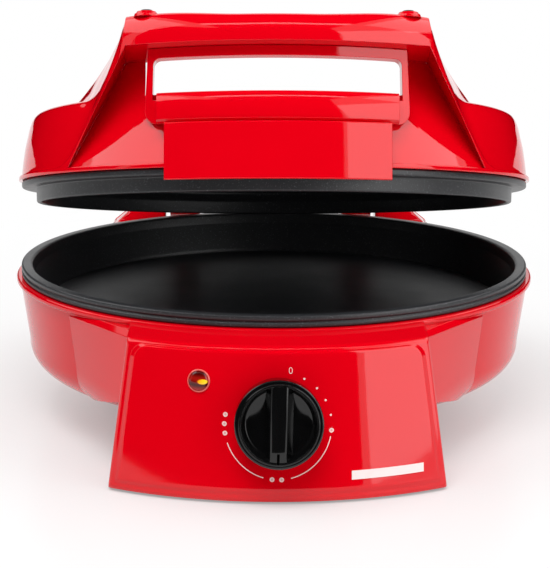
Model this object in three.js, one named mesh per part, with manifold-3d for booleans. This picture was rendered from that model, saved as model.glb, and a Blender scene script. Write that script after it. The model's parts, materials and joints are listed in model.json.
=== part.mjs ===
// Countertop pizza maker with a hinged, heated lid.
// Millimetres, +Z up, front towards -Y. It is drawn round the centre of the pan, then moved over the origin.
// The lid stands a little open, as on a worktop between two pizzas.
import * as THREE from 'three';
import { mergeVertices } from 'three/addons/utils/BufferGeometryUtils.js';
import Module from 'manifold-3d';

const wasm = await Module();
wasm.setup();

// General clearances and steps
const seatGap = 0.3;
const overrun = 3;
const roundSteps = 48;
const smallSteps = 14;
const knobSteps = 36;
const pinSteps = 32;
const curveSteps = 6;

// Pan, the lower heating plate
const panInnerR = 160;
const panRimWidth = 7;
const panRimTopZ = 99.8;
const panRimHeight = 7;
const panRimChamfer = 1.2;
const panGrooveDepth = 0.8;
const panGrooveDrop = 3.8;
const panWall = 3;
const panDepth = 26;
const panFloorInset = 11;
const panDraft = 1.6;
const plateThickness = 3.5;

// Upper heating plate
const upperFlangeInset = 1;
const upperFlangeThickness = 4.1;
const upperLipInset = 3.6;
const upperLipDrop = 8.9;
const upperLipWall = 3;
const upperRoofRise = 6;
const upperRoofInset = 10.4;

// What fastens each heating plate: a boss on the plate, a post on the housing, a screw
const plateScrewInset = 43;
const plateBossR = 5;
const plateBossHeight = 6;
const postNeckR = 5.5;
const postR = 8;
const screwShankR = 2;
const screwHeadR = 4;
const screwHeadHeight = 3;
const screwThreadLength = 5;
const postFloor = 3;
const screwAngles = [-Math.PI / 2, Math.PI / 6, Math.PI * 5 / 6];

// Sheathed heating elements and their clips
const elementInset = 14;
const elementTubeR = 3.5;
const elementGapAngle = 0.36;
const elementTailDrop = 20;
const elementBendR = 9;
const elementSteps = 48;
const elementSides = 6;
const clipSheet = 1.2;
const clipTab = 7;
const clipWidth = 12;
const clipAngles = [-Math.PI / 6, Math.PI / 2, Math.PI * 7 / 6];

// Heat shields
const shieldOverhang = 18;
const shieldSteps = 30;
const shieldSheet = 1;
const shieldDepth = 16;
const shieldSlope = 8;

// Base housing, a bowl with two fairings that run out to the control box
const bowlWall = 2.8;
const flangeProud = 3.3;
const flangeThickness = 3.2;
const flangeUndercut = 1.5;
const bowlTopInset = 2.5;
const bowlKneeInset = 7.4;
const bowlKneeZ = 52;
const bowlFlatR = 77;
const bowlBottomZ = 20.7;
const bowlPower = 2.7;
const bowlKneeSteps = 6;
const fairingSeamAngle = THREE.MathUtils.degToRad(41.6);
const fairingLedge = 1.2;
const fairingStepBack = 8;
const fairingRootShare = 0.62;
const fairingShares = [0, 0.25, 0.5, 0.75, 1];
const wireWindowHalf = 30;
const wireWindowLow = 40;
const wireWindowHigh = 58;

// Control box under the front of the pan
const boxBottomZ = 1.2;
const boxReach = 36.7;
const boxLean = THREE.MathUtils.degToRad(10.2);
const boxHalfWidth = 98;
const boxSideSlope = 0.133;
const boxShoulderZ = 87.6;
const boxWall = 2.8;
const boxDepth = 77;
const fasciaBorder = 6;
const fasciaBorderLow = 4.6;
const fasciaProud = 1.2;
const fasciaSheet = 2.4;
const fasciaCornerR = 9;
const coverSheet = 2.5;
const coverRecess = 0.8;

// Lamp on the control box
const lampX = -44.8;
const lampZ = 68.5;
const lampR = 6.2;
const lampDome = 1.9;
const lampFlange = 0.9;
const lampShankR = 4.8;
const lampShankLength = 7;
const lampBodyR = 4.4;
const lampBodyLength = 18;

// Thermostat, its shaft and its knob
const dialZ = 47.2;
const knobR = 24.4;
const knobRimR = 22.4;
const knobHeight = 16.4;
const knobRound = 3.6;
const knobRimWidth = 0.8;
const knobDishDepth = 9;
const knobDishDraft = 1.8;
const gripBaseWidth = 15.6;
const gripTopWidth = 9.2;
const pointerWidth = 1.7;
const pointerLength = 7.6;
const pointerDepth = 0.9;
const knobGap = 0.8;
const knobRestTurn = THREE.MathUtils.degToRad(-1.5);
const shaftR = 3;
const shaftFlat = 2.2;
const shaftClearance = 0.08;
const shaftHoleR = 4.6;
const shaftReach = 12;
const thermostatWidth = 34;
const thermostatHeight = 30;
const thermostatDepth = 19;
const bracketSheet = 1.2;
const bracketHalf = 27;
const bracketHeight = 18;

// Rear housing with the two hinge towers
const rearHalfLow = 126;
const rearHalfHigh = 123;
const towerShoulderZ = 86;
const towerShoulderX = 110.5;
const towerShoulderRise = 10;
const towerTopX = 105;
const towerInnerX = 81;
const rearFrontInset = 32;
const rearBackGap = 4.3;
const rearBridgeZ = 58;
const towerTopR = 11.3;
const towerSolid = 16;
const towerFrontRise = 7;

// Hinge
const hingeReach = 27.7;
const lidAngle = THREE.MathUtils.degToRad(12.84);
const pinR = 3;
const pinClearance = 0.08;
const pinEndWall = 6;
const armOuterX = 78;
const armWidth = 23;
const knuckleR = 9;
const armThickness = 9.5;
const armRise = 14;
const armSlotGap = 0.3;
const armTongueLength = 24;
const armScrewHead = 2.4;

// Lid housing, heights above the plane where the lid meets the pan
const lidOverhang = 1;
const lidRimLow = 4.7;
const lidLipHeight = 2.8;
const lidDeckZ = 49.6;
const lidWall = 3;
const recessLowInset = 2.2;
const recessHighInset = 23;
const recessTopInset = 31;
const handleFrontInset = 0.5;
const handleDepth = 37.5;
const handleTopZ = 93;
const handleLowZ = 76.5;
const handleBackLowZ = 70.8;
const handleRound = 8.5;
const finWall = 3;
const finFootShare = 0.762;
const finTopShare = 0.5452;
const footBossR = 6;
const footBossHeight = 2.4;
const footPadR = 4.6;
const footPadHeight = 2.1;
const footInset = 15.1;
const footSetBack = 29.5;
const plugR = 7;
const plugThickness = 2;

// Handle frame and front tongue
const frameSideGap = 14;
const frameBar = 5;
const frameLowZ = 30.6;
const frameHighZ = 48.8;
const framePostInset = 10;
const frameCornerR = 6;
const tongueSideGap = 12.2;
const tongueProud = 3.8;
const tongueWall = 2.6;
const tongueLowZ = -2.6;
const tongueClearance = 0.6;

// Feet, cord entry and what is wired inside
const footR = 8;
const frontFootSideInset = 20;
const frontFootInset = 35;
const rearFootSideInset = 26;
const rearFootInset = 18;
const cordHoleR = 4;
const bushingR = 6.2;
const bushingFlangeR = 8.6;
const bushingFlange = 2.6;
const cordZ = 32;
const clampWidth = 26;
const clampDepth = 8;
const clampSheet = 3;
const terminalWidth = 36;
const terminalDepth = 13;
const terminalHeight = 15;
const terminalX = -48;
const fuseR = 2.6;
const fuseLength = 16;
const fuseY = -60;

// Sizes that follow from the ones above
const panRimOuterR = panInnerR + panRimWidth;
const panFloorR = panInnerR - panFloorInset;
const upperFlangeR = panRimOuterR - upperFlangeInset;
const upperLipR = panInnerR - upperLipInset;
const upperRoofR = upperLipR - upperRoofInset;
const plateScrewR = panFloorR - plateScrewInset;
const elementRingR = plateScrewR - elementInset;
const shieldR = plateScrewR + shieldOverhang;
const flangeR = panRimOuterR + flangeProud;
const bowlTopR = flangeR - bowlTopInset;
const bowlKneeR = flangeR - bowlKneeInset;
const boxFrontR = flangeR + boxReach;
const boxRearY = boxDepth - boxFrontR;
const frontFootX = boxHalfWidth - frontFootSideInset;
const frontFootY = frontFootInset - boxFrontR;
const lidRimR = panRimOuterR + lidOverhang;
const recessLowR = lidRimR - recessLowInset;
const recessHighR = lidRimR - recessHighInset;
const recessTopR = lidRimR - recessTopInset;
const handleFrontR = lidRimR - handleFrontInset;
const finFootX = lidRimR * finFootShare;
const finTopX = lidRimR * finTopShare;
const footX = finTopX - footInset;
const footY = footSetBack - handleFrontR;
const frameHalf = finTopX - frameSideGap;
const frameFrontR = lidRimR;
const framePostR = lidRimR - framePostInset;
const tongueHalf = frameHalf - tongueSideGap;
const tongueFaceR = lidRimR + tongueProud;
const tongueClearR = lidRimR + tongueClearance;
const hingeY = lidRimR + hingeReach;
const rearFrontY = panInnerR - rearFrontInset;
const rearBackY = hingeY + rearBackGap;
const rearFootX = rearHalfLow - rearFootSideInset;
const rearFootY = rearBackY - rearFootInset;
const panRimLowZ = panRimTopZ - panRimHeight;
const panFloorZ = panRimTopZ - panDepth;
const lowerBackZ = panFloorZ - plateThickness;
const flangeTopZ = panRimLowZ - seatGap;
const flangeLowZ = flangeTopZ - flangeThickness;
const bowlTopZ = flangeLowZ - flangeUndercut;
const panSeatR = panInnerR + panWall + seatGap;
const fairingTopZ = flangeLowZ - fairingLedge;
const upperBackZ = upperRoofRise + plateThickness;
const boxTopZ = flangeTopZ - seatGap;
const boxLeanSlope = Math.tan(boxLean);
const coverLowZ = boxBottomZ + coverRecess;
const footHeight = coverLowZ - seatGap;
const towerBackY = hingeY + towerTopR;
const footPadLowZ = handleTopZ + footBossHeight + seatGap;
const armInnerX = armOuterX - armWidth;
const armTopZ = armRise + armThickness;
const finLowZ = lidRimLow + lidLipHeight;
const handleBackR = handleFrontR - handleDepth;

// Finishes
const redGloss = new THREE.MeshStandardMaterial({ color: 0xd8000f, roughness: 0.12, metalness: 0 });
const blackCoat = new THREE.MeshStandardMaterial({ color: 0x26272a, roughness: 0.5, metalness: 0.1 });
const blackGloss = new THREE.MeshStandardMaterial({ color: 0x0c0c0d, roughness: 0.15, metalness: 0 });
const rubber = new THREE.MeshStandardMaterial({ color: 0x1a1a1a, roughness: 0.85, metalness: 0 });
const amber = new THREE.MeshStandardMaterial({ color: 0x8a1c00, roughness: 0.1, metalness: 0 });
const steel = new THREE.MeshStandardMaterial({ color: 0xb9bcc0, roughness: 0.35, metalness: 1 });
const brass = new THREE.MeshStandardMaterial({ color: 0xc9a85a, roughness: 0.35, metalness: 1 });
const heaterSheath = new THREE.MeshStandardMaterial({ color: 0x4a4743, roughness: 0.5, metalness: 0.9 });
const darkPlastic = new THREE.MeshStandardMaterial({ color: 0x1e1e20, roughness: 0.6, metalness: 0 });
const paleCeramic = new THREE.MeshStandardMaterial({ color: 0xe9e4d8, roughness: 0.6, metalness: 0 });

// Turns a closed geometry into a solid: welded, without sliver faces, facing out
function solid(geometry) {
  const bare = geometry.clone();
  bare.deleteAttribute('normal');
  bare.deleteAttribute('uv');
  const welded = mergeVertices(bare);
  const places = welded.getAttribute('position');
  const corners = welded.index.array;
  const faces = [];
  for (let i = 0; i < corners.length; i += 3) {
    const [a, b, c] = [corners[i], corners[i + 1], corners[i + 2]];
    if (a !== b && b !== c && c !== a) faces.push([a, b, c]);
  }
  const point = (i) => new THREE.Vector3().fromBufferAttribute(places, i);
  const volume = faces.reduce((sum, [a, b, c]) => sum + point(a).dot(point(b).cross(point(c))), 0);
  const outward = volume > 0 ? faces : faces.map(([a, b, c]) => [a, c, b]);
  return new wasm.Manifold(new wasm.Mesh({
    numProp: 3,
    vertProperties: new Float32Array(places.array),
    triVerts: new Uint32Array(outward.flat()),
  }));
}

// Turns a solid back into a geometry
function geometryOf(body) {
  const mesh = body.getMesh();
  const geometry = new THREE.BufferGeometry();
  geometry.setAttribute('position', new THREE.BufferAttribute(mesh.vertProperties, mesh.numProp));
  geometry.setIndex(new THREE.BufferAttribute(mesh.triVerts, 1));
  geometry.computeVertexNormals();
  return geometry;
}

const join = (...bodies) => bodies.reduce((whole, body) => whole.add(body));
const cut = (body, ...tools) => tools.reduce((rest, tool) => rest.subtract(tool), body);
const common = (...bodies) => bodies.reduce((whole, body) => whole.intersect(body));

// A body turned about the Z axis from a profile of [radius, height] points
function turnedGeometry(profile, steps = roundSteps) {
  const points = profile.map(([r, z]) => new THREE.Vector2(r, z));
  const onAxis = profile[0][0] === 0 && profile[profile.length - 1][0] === 0;
  if (!onAxis) points.push(points[0].clone());
  return new THREE.LatheGeometry(points, steps).rotateX(Math.PI / 2);
}

const turned = (profile, steps) => solid(turnedGeometry(profile, steps));

// A shape from corner points, with the given corners rounded by a radius
function outline(corners, radius = 0) {
  const points = corners.map(([x, y]) => new THREE.Vector2(x, y));
  if (radius === 0) return new THREE.Shape(points);
  const shape = new THREE.Shape();
  points.forEach((corner, i) => {
    const before = points[(i + points.length - 1) % points.length];
    const after = points[(i + 1) % points.length];
    const reach = Math.min(radius, corner.distanceTo(before) / 2, corner.distanceTo(after) / 2);
    const start = before.clone().sub(corner).setLength(reach).add(corner);
    const end = after.clone().sub(corner).setLength(reach).add(corner);
    if (i === 0) shape.moveTo(start.x, start.y);
    else shape.lineTo(start.x, start.y);
    shape.quadraticCurveTo(corner.x, corner.y, end.x, end.y);
  });
  shape.closePath();
  return shape;
}

const extruded = (shape, depth) => new THREE.ExtrudeGeometry(shape, {
  depth, bevelEnabled: false, curveSegments: curveSteps / 2, steps: 1,
});

// Prisms along Z, Y and X from a flat shape
const planPrism = (shape, low, high) => solid(extruded(shape, high - low).translate(0, 0, low));
const frontPrism = (shape, front, back) => (
  solid(extruded(shape, back - front).rotateX(Math.PI / 2).translate(0, back, 0)));
const sidePrism = (shape, left, right) => (
  solid(extruded(shape, right - left).rotateY(Math.PI / 2).rotateX(Math.PI / 2).translate(left, 0, 0)));

// A box between two corners
function block([x0, y0, z0], [x1, y1, z1]) {
  const box = new THREE.BoxGeometry(x1 - x0, y1 - y0, z1 - z0);
  return solid(box.translate((x0 + x1) / 2, (y0 + y1) / 2, (z0 + z1) / 2));
}

// An upright round rod between two heights
function post(radius, low, high, x, y, steps = smallSteps) {
  const rod = new THREE.CylinderGeometry(radius, radius, high - low, steps).rotateX(Math.PI / 2);
  return solid(rod.translate(x, y, (low + high) / 2));
}

// A rod along X or along Y
function rodX(radius, left, right, y, z, steps = smallSteps) {
  const rod = new THREE.CylinderGeometry(radius, radius, right - left, steps).rotateZ(Math.PI / 2);
  return solid(rod.translate((left + right) / 2, y, z));
}
function rodY(radius, front, back, x, z, steps = smallSteps) {
  const rod = new THREE.CylinderGeometry(radius, radius, back - front, steps);
  return solid(rod.translate(x, (front + back) / 2, z));
}

// A body through matching rings of points, closed by a fan at each end
function loft(rings) {
  const count = rings[0].length;
  const positions = rings.flat().flatMap((p) => [p.x, p.y, p.z]);
  const faces = [];
  for (let k = 0; k + 1 < rings.length; k += 1) {
    for (let i = 0; i < count; i += 1) {
      const [a, b] = [k * count + i, k * count + ((i + 1) % count)];
      faces.push(a, b, b + count, a, b + count, a + count);
    }
  }
  const last = (rings.length - 1) * count;
  for (let i = 1; i + 1 < count; i += 1) {
    faces.push(0, i + 1, i);
    faces.push(last, last + i, last + i + 1);
  }
  const geometry = new THREE.BufferGeometry();
  geometry.setAttribute('position', new THREE.Float32BufferAttribute(positions, 3));
  geometry.setIndex(faces);
  return solid(geometry);
}

// Adds a named piece to a group
function piece(parent, name, body, finish) {
  const mesh = new THREE.Mesh(geometryOf(body), finish);
  mesh.name = name;
  parent.add(mesh);
  return mesh;
}

const sides = [['left', -1], ['right', 1]];

// Bowl of the base housing
// Outline of the bowl, from the axis to the top, moved inwards by inset
function bowlCurve(inset) {
  const kneeR = bowlKneeR - inset;
  const bottomZ = bowlBottomZ + inset;
  const points = [[0, bottomZ]];
  for (let i = bowlKneeSteps; i >= 0; i -= 1) {
    const angle = (i / bowlKneeSteps) * (Math.PI / 2);
    const out = Math.cos(angle) ** (2 / bowlPower);
    const down = Math.sin(angle) ** (2 / bowlPower);
    if (i < bowlKneeSteps) {
      points.push([bowlFlatR + (kneeR - bowlFlatR) * out, bowlKneeZ - (bowlKneeZ - bottomZ) * down]);
    } else {
      points.push([bowlFlatR, bottomZ]);
    }
  }
  points.push([bowlTopR - inset, bowlTopZ]);
  return points;
}

// Radius of the front face of the control box at a height
const boxFaceR = (z) => boxFrontR - (z - boxBottomZ) * boxLeanSlope;
// Half width of the control box at a height
const boxHalfAt = (z) => boxHalfWidth - (z - boxBottomZ) * boxSideSlope;

// One fairing: a flattened panel from the seam on the bowl out to the side of the control box
function fairing(side, inset) {
  const levels = bowlCurve(inset).filter(([r]) => r > bowlFlatR * 1.2).reverse();
  const seam = new THREE.Vector2(Math.cos(fairingSeamAngle), -Math.sin(fairingSeamAngle));
  const rings = levels.map(([radius, height], i) => {
    const z = i === 0 ? fairingTopZ - inset : height;
    const shrink = bowlKneeR - inset - Math.min(radius, bowlKneeR - inset);
    const cornerX = boxHalfAt(z) - inset - shrink / 2;
    const cornerR = boxFaceR(z) - fairingStepBack - inset - shrink;
    const cornerY = -Math.sqrt(cornerR ** 2 - cornerX ** 2);
    const innerX = boxHalfAt(z) * fairingRootShare + inset;
    const innerY = -radius * fairingRootShare;
    const seamPoint = new THREE.Vector3(side * seam.x * radius, seam.y * radius, z);
    const corner = new THREE.Vector3(side * cornerX, cornerY, z);
    const panel = fairingShares.map((share) => seamPoint.clone().lerp(corner, share));
    return [
      new THREE.Vector3(side * innerX, innerY, z),
      ...panel,
      new THREE.Vector3(side * innerX, cornerY, z),
    ];
  });
  return loft(rings);
}

// Everything that the bowl and its fairings fill, grown by a clearance
function bowlEnvelope(clearance) {
  const top = panRimTopZ;
  const bowl = turned([...bowlCurve(-clearance), [flangeR + clearance, flangeLowZ - clearance],
    [flangeR + clearance, top], [0, top]]);
  return join(bowl, fairing(-1, -clearance), fairing(1, -clearance));
}

const around = (radius, angle) => [radius * Math.cos(angle), radius * Math.sin(angle)];

function baseHousing() {
  const outer = turned([...bowlCurve(0), [flangeR, flangeLowZ], [flangeR, flangeTopZ], [0, flangeTopZ]]);
  const hollow = turned([...bowlCurve(bowlWall), [panSeatR, flangeLowZ],
    [panSeatR, flangeTopZ + overrun], [0, flangeTopZ + overrun]]);
  const shell = cut(
    join(outer, fairing(-1, 0), fairing(1, 0)),
    hollow, fairing(-1, bowlWall), fairing(1, bowlWall),
  );
  const shoulderZ = lowerBackZ - shieldDepth - seatGap;
  const neckZ = lowerBackZ - plateBossHeight - seatGap;
  const posts = screwAngles.flatMap((angle) => {
    const [x, y] = around(plateScrewR, angle);
    return [post(postR, bowlBottomZ + bowlWall / 2, shoulderZ, x, y),
      post(postNeckR, bowlBottomZ + bowlWall, neckZ, x, y)];
  });
  const bores = screwAngles.flatMap((angle) => {
    const [x, y] = around(plateScrewR, angle);
    const seatZ = neckZ - postFloor;
    return [post(screwShankR + seatGap, bowlBottomZ, neckZ + overrun, x, y),
      post(screwHeadR + seatGap, bowlBottomZ - overrun, seatZ, x, y)];
  });
  const windowDepth = bowlTopR - bowlWall * 7;
  const frontWindow = block([-wireWindowHalf, -bowlTopR - overrun, wireWindowLow],
    [wireWindowHalf, -windowDepth, wireWindowHigh]);
  const rearWindow = block([-wireWindowHalf, windowDepth, wireWindowLow],
    [wireWindowHalf, bowlTopR + overrun, rearBridgeZ - bowlWall * 2]);
  return cut(join(shell, ...posts), ...bores, frontWindow, rearWindow);
}

// Lower plate: a pan with a thick rim that rests on the flange of the bowl
function lowerPlate() {
  const grooveZ = panRimTopZ - panGrooveDrop;
  const outerWallR = panInnerR + panWall;
  const body = turned([
    [0, panFloorZ],
    [panFloorR, panFloorZ],
    [panFloorR + panWall, panFloorZ + panDraft],
    [panInnerR - panDraft, panRimLowZ],
    [panInnerR, panRimTopZ - panRimChamfer],
    [panInnerR + panRimChamfer, panRimTopZ],
    [panRimOuterR - panRimChamfer, panRimTopZ],
    [panRimOuterR, panRimTopZ - panRimChamfer],
    [panRimOuterR, grooveZ + panGrooveDepth],
    [panRimOuterR - panGrooveDepth, grooveZ],
    [panRimOuterR, grooveZ - panGrooveDepth],
    [panRimOuterR, panRimLowZ],
    [outerWallR, panRimLowZ],
    [outerWallR - panDraft, panRimLowZ - panWall],
    [panFloorR + panWall * 2, panFloorZ],
    [panFloorR + panWall / 2, lowerBackZ],
    [0, lowerBackZ],
  ]);
  return cut(join(body, ...plateBosses(lowerBackZ, -1)), ...plateBossHoles(lowerBackZ, -1));
}

// Bosses and blind holes on the back of a plate; way is -1 below the pan and 1 above the lid's plate
function plateBosses(backZ, way) {
  const [low, high] = [backZ - way * plateThickness / 2, backZ + way * plateBossHeight].sort((a, b) => a - b);
  return screwAngles.map((angle) => post(plateBossR, low, high, ...around(plateScrewR, angle)));
}
function plateBossHoles(backZ, way) {
  const tip = backZ - way * seatGap;
  const mouth = backZ + way * (plateBossHeight + overrun);
  const [low, high] = [tip, mouth].sort((a, b) => a - b);
  return screwAngles.map((angle) => post(screwShankR + seatGap, low, high, ...around(plateScrewR, angle)));
}

// Screw that reaches through a post into the boss of a plate
function plateScrew(backZ, way, angle) {
  const [x, y] = around(plateScrewR, angle);
  const seat = backZ + way * (plateBossHeight + seatGap + postFloor + seatGap);
  const tip = backZ + way * (plateBossHeight - screwThreadLength);
  const head = seat + way * screwHeadHeight;
  const [shankLow, shankHigh] = [tip, seat + way * screwHeadHeight / 2].sort((a, b) => a - b);
  const [headLow, headHigh] = [seat, head].sort((a, b) => a - b);
  return join(post(screwShankR, shankLow, shankHigh, x, y), post(screwHeadR, headLow, headHigh, x, y));
}

// Sheathed element: an open ring behind a plate whose two tails turn away from the plate
function heatingElement(backZ, way) {
  const z = backZ + way * (seatGap * 2 + elementTubeR);
  const start = -Math.PI / 2 + elementGapAngle;
  const sweep = Math.PI * 2 - elementGapAngle * 2;
  const points = [];
  const tail = (angle, direction) => {
    const [x, y] = around(elementRingR, angle);
    const [dx, dy] = around(elementBendR, angle + direction * Math.PI / 2);
    const bend = new THREE.Vector3(x + dx, y + dy, z + way * elementBendR);
    const middle = new THREE.Vector3(x + dx * Math.SQRT1_2, y + dy * Math.SQRT1_2,
      z + way * elementBendR * (1 - Math.SQRT1_2));
    const end = new THREE.Vector3(x + dx, y + dy, z + way * elementTailDrop);
    return [middle, bend, end];
  };
  points.push(...tail(start, -1).reverse());
  const steps = elementSteps / 3;
  for (let i = 0; i <= steps; i += 1) {
    const [x, y] = around(elementRingR, start + (sweep * i) / steps);
    points.push(new THREE.Vector3(x, y, z));
  }
  points.push(...tail(start + sweep, 1));
  const path = new THREE.CatmullRomCurve3(points, false, 'centripetal');
  const section = new THREE.Shape();
  for (let i = 0; i < elementSides; i += 1) {
    const [x, y] = around(elementTubeR, (i / elementSides) * Math.PI * 2);
    if (i === 0) section.moveTo(x, y);
    else section.lineTo(x, y);
  }
  return solid(new THREE.ExtrudeGeometry(section, { steps: elementSteps, extrudePath: path }));
}

// Where the tails of an element stand, for the holes they pass through
function tailPlaces() {
  return [[-Math.PI / 2 + elementGapAngle, -1], [-Math.PI / 2 - elementGapAngle, 1]].map(([angle, direction]) => {
    const [x, y] = around(elementRingR, angle);
    const [dx, dy] = around(elementBendR, angle + direction * Math.PI / 2);
    return [x + dx, y + dy];
  });
}

// Clip: a strap bent over the element, its two tabs flat on the plate
function elementClip(backZ, way, angle) {
  const inner = elementTubeR + seatGap;
  const outer = inner + clipSheet;
  const far = outer + clipTab;
  const depth = seatGap * 3 + elementTubeR * 2;
  const shape = outline([
    [-far, seatGap], [-inner, seatGap], [-inner, depth], [inner, depth], [inner, seatGap], [far, seatGap],
    [far, seatGap + clipSheet], [outer, seatGap + clipSheet], [outer, depth + clipSheet],
    [-outer, depth + clipSheet], [-outer, seatGap + clipSheet], [-far, seatGap + clipSheet],
  ]);
  const strap = extruded(shape, clipWidth).translate(0, 0, -clipWidth / 2).rotateX(Math.PI / 2);
  strap.scale(1, 1, way);
  return solid(strap.translate(elementRingR, 0, backZ).rotateZ(angle));
}

// Heat shield: a shallow dish over the element, its rim against the plate
function heatShield(backZ, way) {
  const rim = backZ + way * seatGap;
  const floor = backZ + way * shieldDepth;
  const inside = floor - way * shieldSheet;
  const dish = turned([
    [0, floor],
    [shieldR - shieldSlope, floor],
    [shieldR, floor - way * shieldSlope],
    [shieldR, rim],
    [shieldR - shieldSheet, rim],
    [shieldR - shieldSheet, inside - way * (shieldSlope - shieldSheet)],
    [shieldR - shieldSlope - shieldSheet, inside],
    [0, inside],
  ], shieldSteps);
  const [low, high] = [floor + way * overrun, inside - way * overrun].sort((a, b) => a - b);
  const postHoles = screwAngles.map((angle) => post(postNeckR + seatGap, low, high, ...around(plateScrewR, angle)));
  const tailHoles = tailPlaces().map(([x, y]) => post(elementTubeR * 2, low, high, x, y));
  return cut(dish, ...postHoles, ...tailHoles);
}

// Control box
// Solid outline of the box, moved inwards by inset and started at a height
function boxOutline(inset, lowZ) {
  const shoulderZ = boxShoulderZ - inset;
  const topZ = boxTopZ - inset;
  const front = turned([
    [0, lowZ],
    [boxFaceR(lowZ) - inset, lowZ],
    [boxFaceR(shoulderZ) - inset, shoulderZ],
    [flangeR, topZ],
    [0, topZ],
  ]);
  const [low, high] = [boxHalfAt(lowZ) - inset, boxHalfAt(topZ) - inset];
  const view = outline([[-low, lowZ], [low, lowZ], [high, topZ], [-high, topZ]]);
  return common(front, frontPrism(view, -boxFrontR - overrun, boxRearY - inset));
}

// Panel frame at a place on the fascia: X to the right, Y up the face, Z out of it
function panelMatrix(x, z) {
  const radius = boxFaceR(z) + fasciaProud;
  const azimuth = Math.asin(x / radius);
  const right = new THREE.Vector3(Math.cos(azimuth), Math.sin(azimuth), 0);
  const outward = new THREE.Vector3(Math.sin(azimuth), -Math.cos(azimuth), 0);
  const normal = outward.clone().multiplyScalar(Math.cos(boxLean));
  normal.z = Math.sin(boxLean);
  const up = normal.clone().cross(right);
  const matrix = new THREE.Matrix4().makeBasis(right, up, normal);
  return matrix.setPosition(outward.multiplyScalar(radius).setZ(z));
}

// A rod along the panel's normal between two depths, in world places
function panelRod(x, z, radius, back, front, steps = smallSteps) {
  const rod = new THREE.CylinderGeometry(radius, radius, front - back, steps).rotateX(Math.PI / 2);
  rod.translate(0, 0, (back + front) / 2);
  return solid(rod.applyMatrix4(panelMatrix(x, z)));
}

// Slab of the fascia between two depths, its edge moved outwards by grow
function fasciaSlab(back, front, grow) {
  const low = boxBottomZ + fasciaBorderLow;
  const high = boxShoulderZ;
  const lowHalf = boxHalfAt(low) - fasciaBorder;
  const highHalf = boxHalfAt(high) - fasciaBorder;
  const slab = turned([
    [boxFaceR(low - overrun) + back, low - overrun],
    [boxFaceR(low - overrun) + front, low - overrun],
    [boxFaceR(high + overrun) + front, high + overrun],
    [boxFaceR(high + overrun) + back, high + overrun],
  ]);
  const edge = outline([
    [-lowHalf - grow, low - grow], [lowHalf + grow, low - grow],
    [highHalf + grow, high + grow], [-highHalf - grow, high + grow],
  ], fasciaCornerR);
  return common(slab, frontPrism(edge, -boxFrontR - overrun * 2, boxRearY));
}

function controlBox() {
  const hollow = boxOutline(boxWall, boxBottomZ - overrun);
  const shell = cut(boxOutline(0, boxBottomZ), hollow, bowlEnvelope(seatGap));
  return cut(
    shell,
    fasciaSlab(fasciaProud - fasciaSheet - seatGap, fasciaProud + overrun, seatGap),
    panelRod(0, dialZ, shaftHoleR, -boxWall * 3, overrun),
    panelRod(lampX, lampZ, lampShankR + seatGap, -boxWall * 3, overrun),
  );
}

function controlFascia() {
  return cut(
    fasciaSlab(fasciaProud - fasciaSheet, fasciaProud, 0),
    panelRod(0, dialZ, shaftHoleR, -boxWall * 3, overrun),
    panelRod(lampX, lampZ, lampShankR + seatGap, -boxWall * 3, overrun),
  );
}

// Plate that closes the control box from below
function boxBottomCover() {
  const inset = boxWall + seatGap;
  const plan = boxOutline(inset, coverLowZ);
  return common(plan, block([-boxHalfWidth, -boxFrontR, coverLowZ], [boxHalfWidth, boxRearY, coverLowZ + coverSheet]));
}

const rubberFoot = (x, y) => post(footR, 0, footHeight, x, y);

// Lamp
function lampLens() {
  const flangeLow = seatGap;
  const flangeHigh = flangeLow + lampFlange;
  const dome = new THREE.LatheGeometry([
    new THREE.Vector2(0, -lampShankLength),
    new THREE.Vector2(lampShankR, -lampShankLength),
    new THREE.Vector2(lampShankR, flangeLow),
    new THREE.Vector2(lampR, flangeLow),
    new THREE.Vector2(lampR, flangeHigh),
    new THREE.Vector2(lampR - lampFlange, flangeHigh),
    new THREE.Vector2(lampShankR * Math.SQRT1_2, flangeHigh + lampDome * Math.SQRT1_2),
    new THREE.Vector2(0, flangeHigh + lampDome),
  ], smallSteps).rotateX(Math.PI / 2);
  return solid(dome.applyMatrix4(panelMatrix(lampX, lampZ)));
}

function lampBody() {
  const front = -lampShankLength - seatGap;
  return panelRod(lampX, lampZ, lampBodyR, front - lampBodyLength, front);
}

// Thermostat pieces, in the panel frame at the dial
const dialMatrix = panelMatrix(0, dialZ);
const wallBack = fasciaProud + boxWall;
const bracketSag = bracketHalf ** 2 / (2 * (boxFaceR(dialZ) - boxWall));
const bracketFront = -wallBack - bracketSag - seatGap;
const thermostatFront = bracketFront - bracketSheet - seatGap;

const inPanel = (geometry) => solid(geometry.applyMatrix4(dialMatrix));

function panelBlock(width, height, back, front) {
  return inPanel(new THREE.BoxGeometry(width, height, front - back).translate(0, 0, (back + front) / 2));
}

function thermostatBracket() {
  const sheet = panelBlock(bracketHalf * 2, bracketHeight, bracketFront - bracketSheet, bracketFront);
  return cut(sheet, panelRod(0, dialZ, shaftHoleR, bracketFront - overrun, bracketFront + overrun));
}

function thermostatBody() {
  const can = panelBlock(thermostatWidth, thermostatHeight, thermostatFront - thermostatDepth, thermostatFront);
  const bore = panelRod(0, dialZ, shaftR + shaftClearance,
    thermostatFront - thermostatDepth / 2, thermostatFront + overrun, pinSteps);
  return cut(can, bore);
}

// Shaft with a flat, and the knob on it, drawn in the panel frame
function thermostatShaft() {
  const back = thermostatFront - thermostatDepth / 2 + seatGap;
  const rod = new THREE.CylinderGeometry(shaftR, shaftR, shaftReach - back, pinSteps).rotateX(Math.PI / 2);
  const flat = new THREE.BoxGeometry(shaftR * 2, shaftR, shaftReach);
  return cut(
    solid(rod.translate(0, 0, (back + shaftReach) / 2)),
    solid(flat.translate(0, shaftFlat + shaftR / 2, shaftReach / 2 + knobGap)),
  );
}

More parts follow.
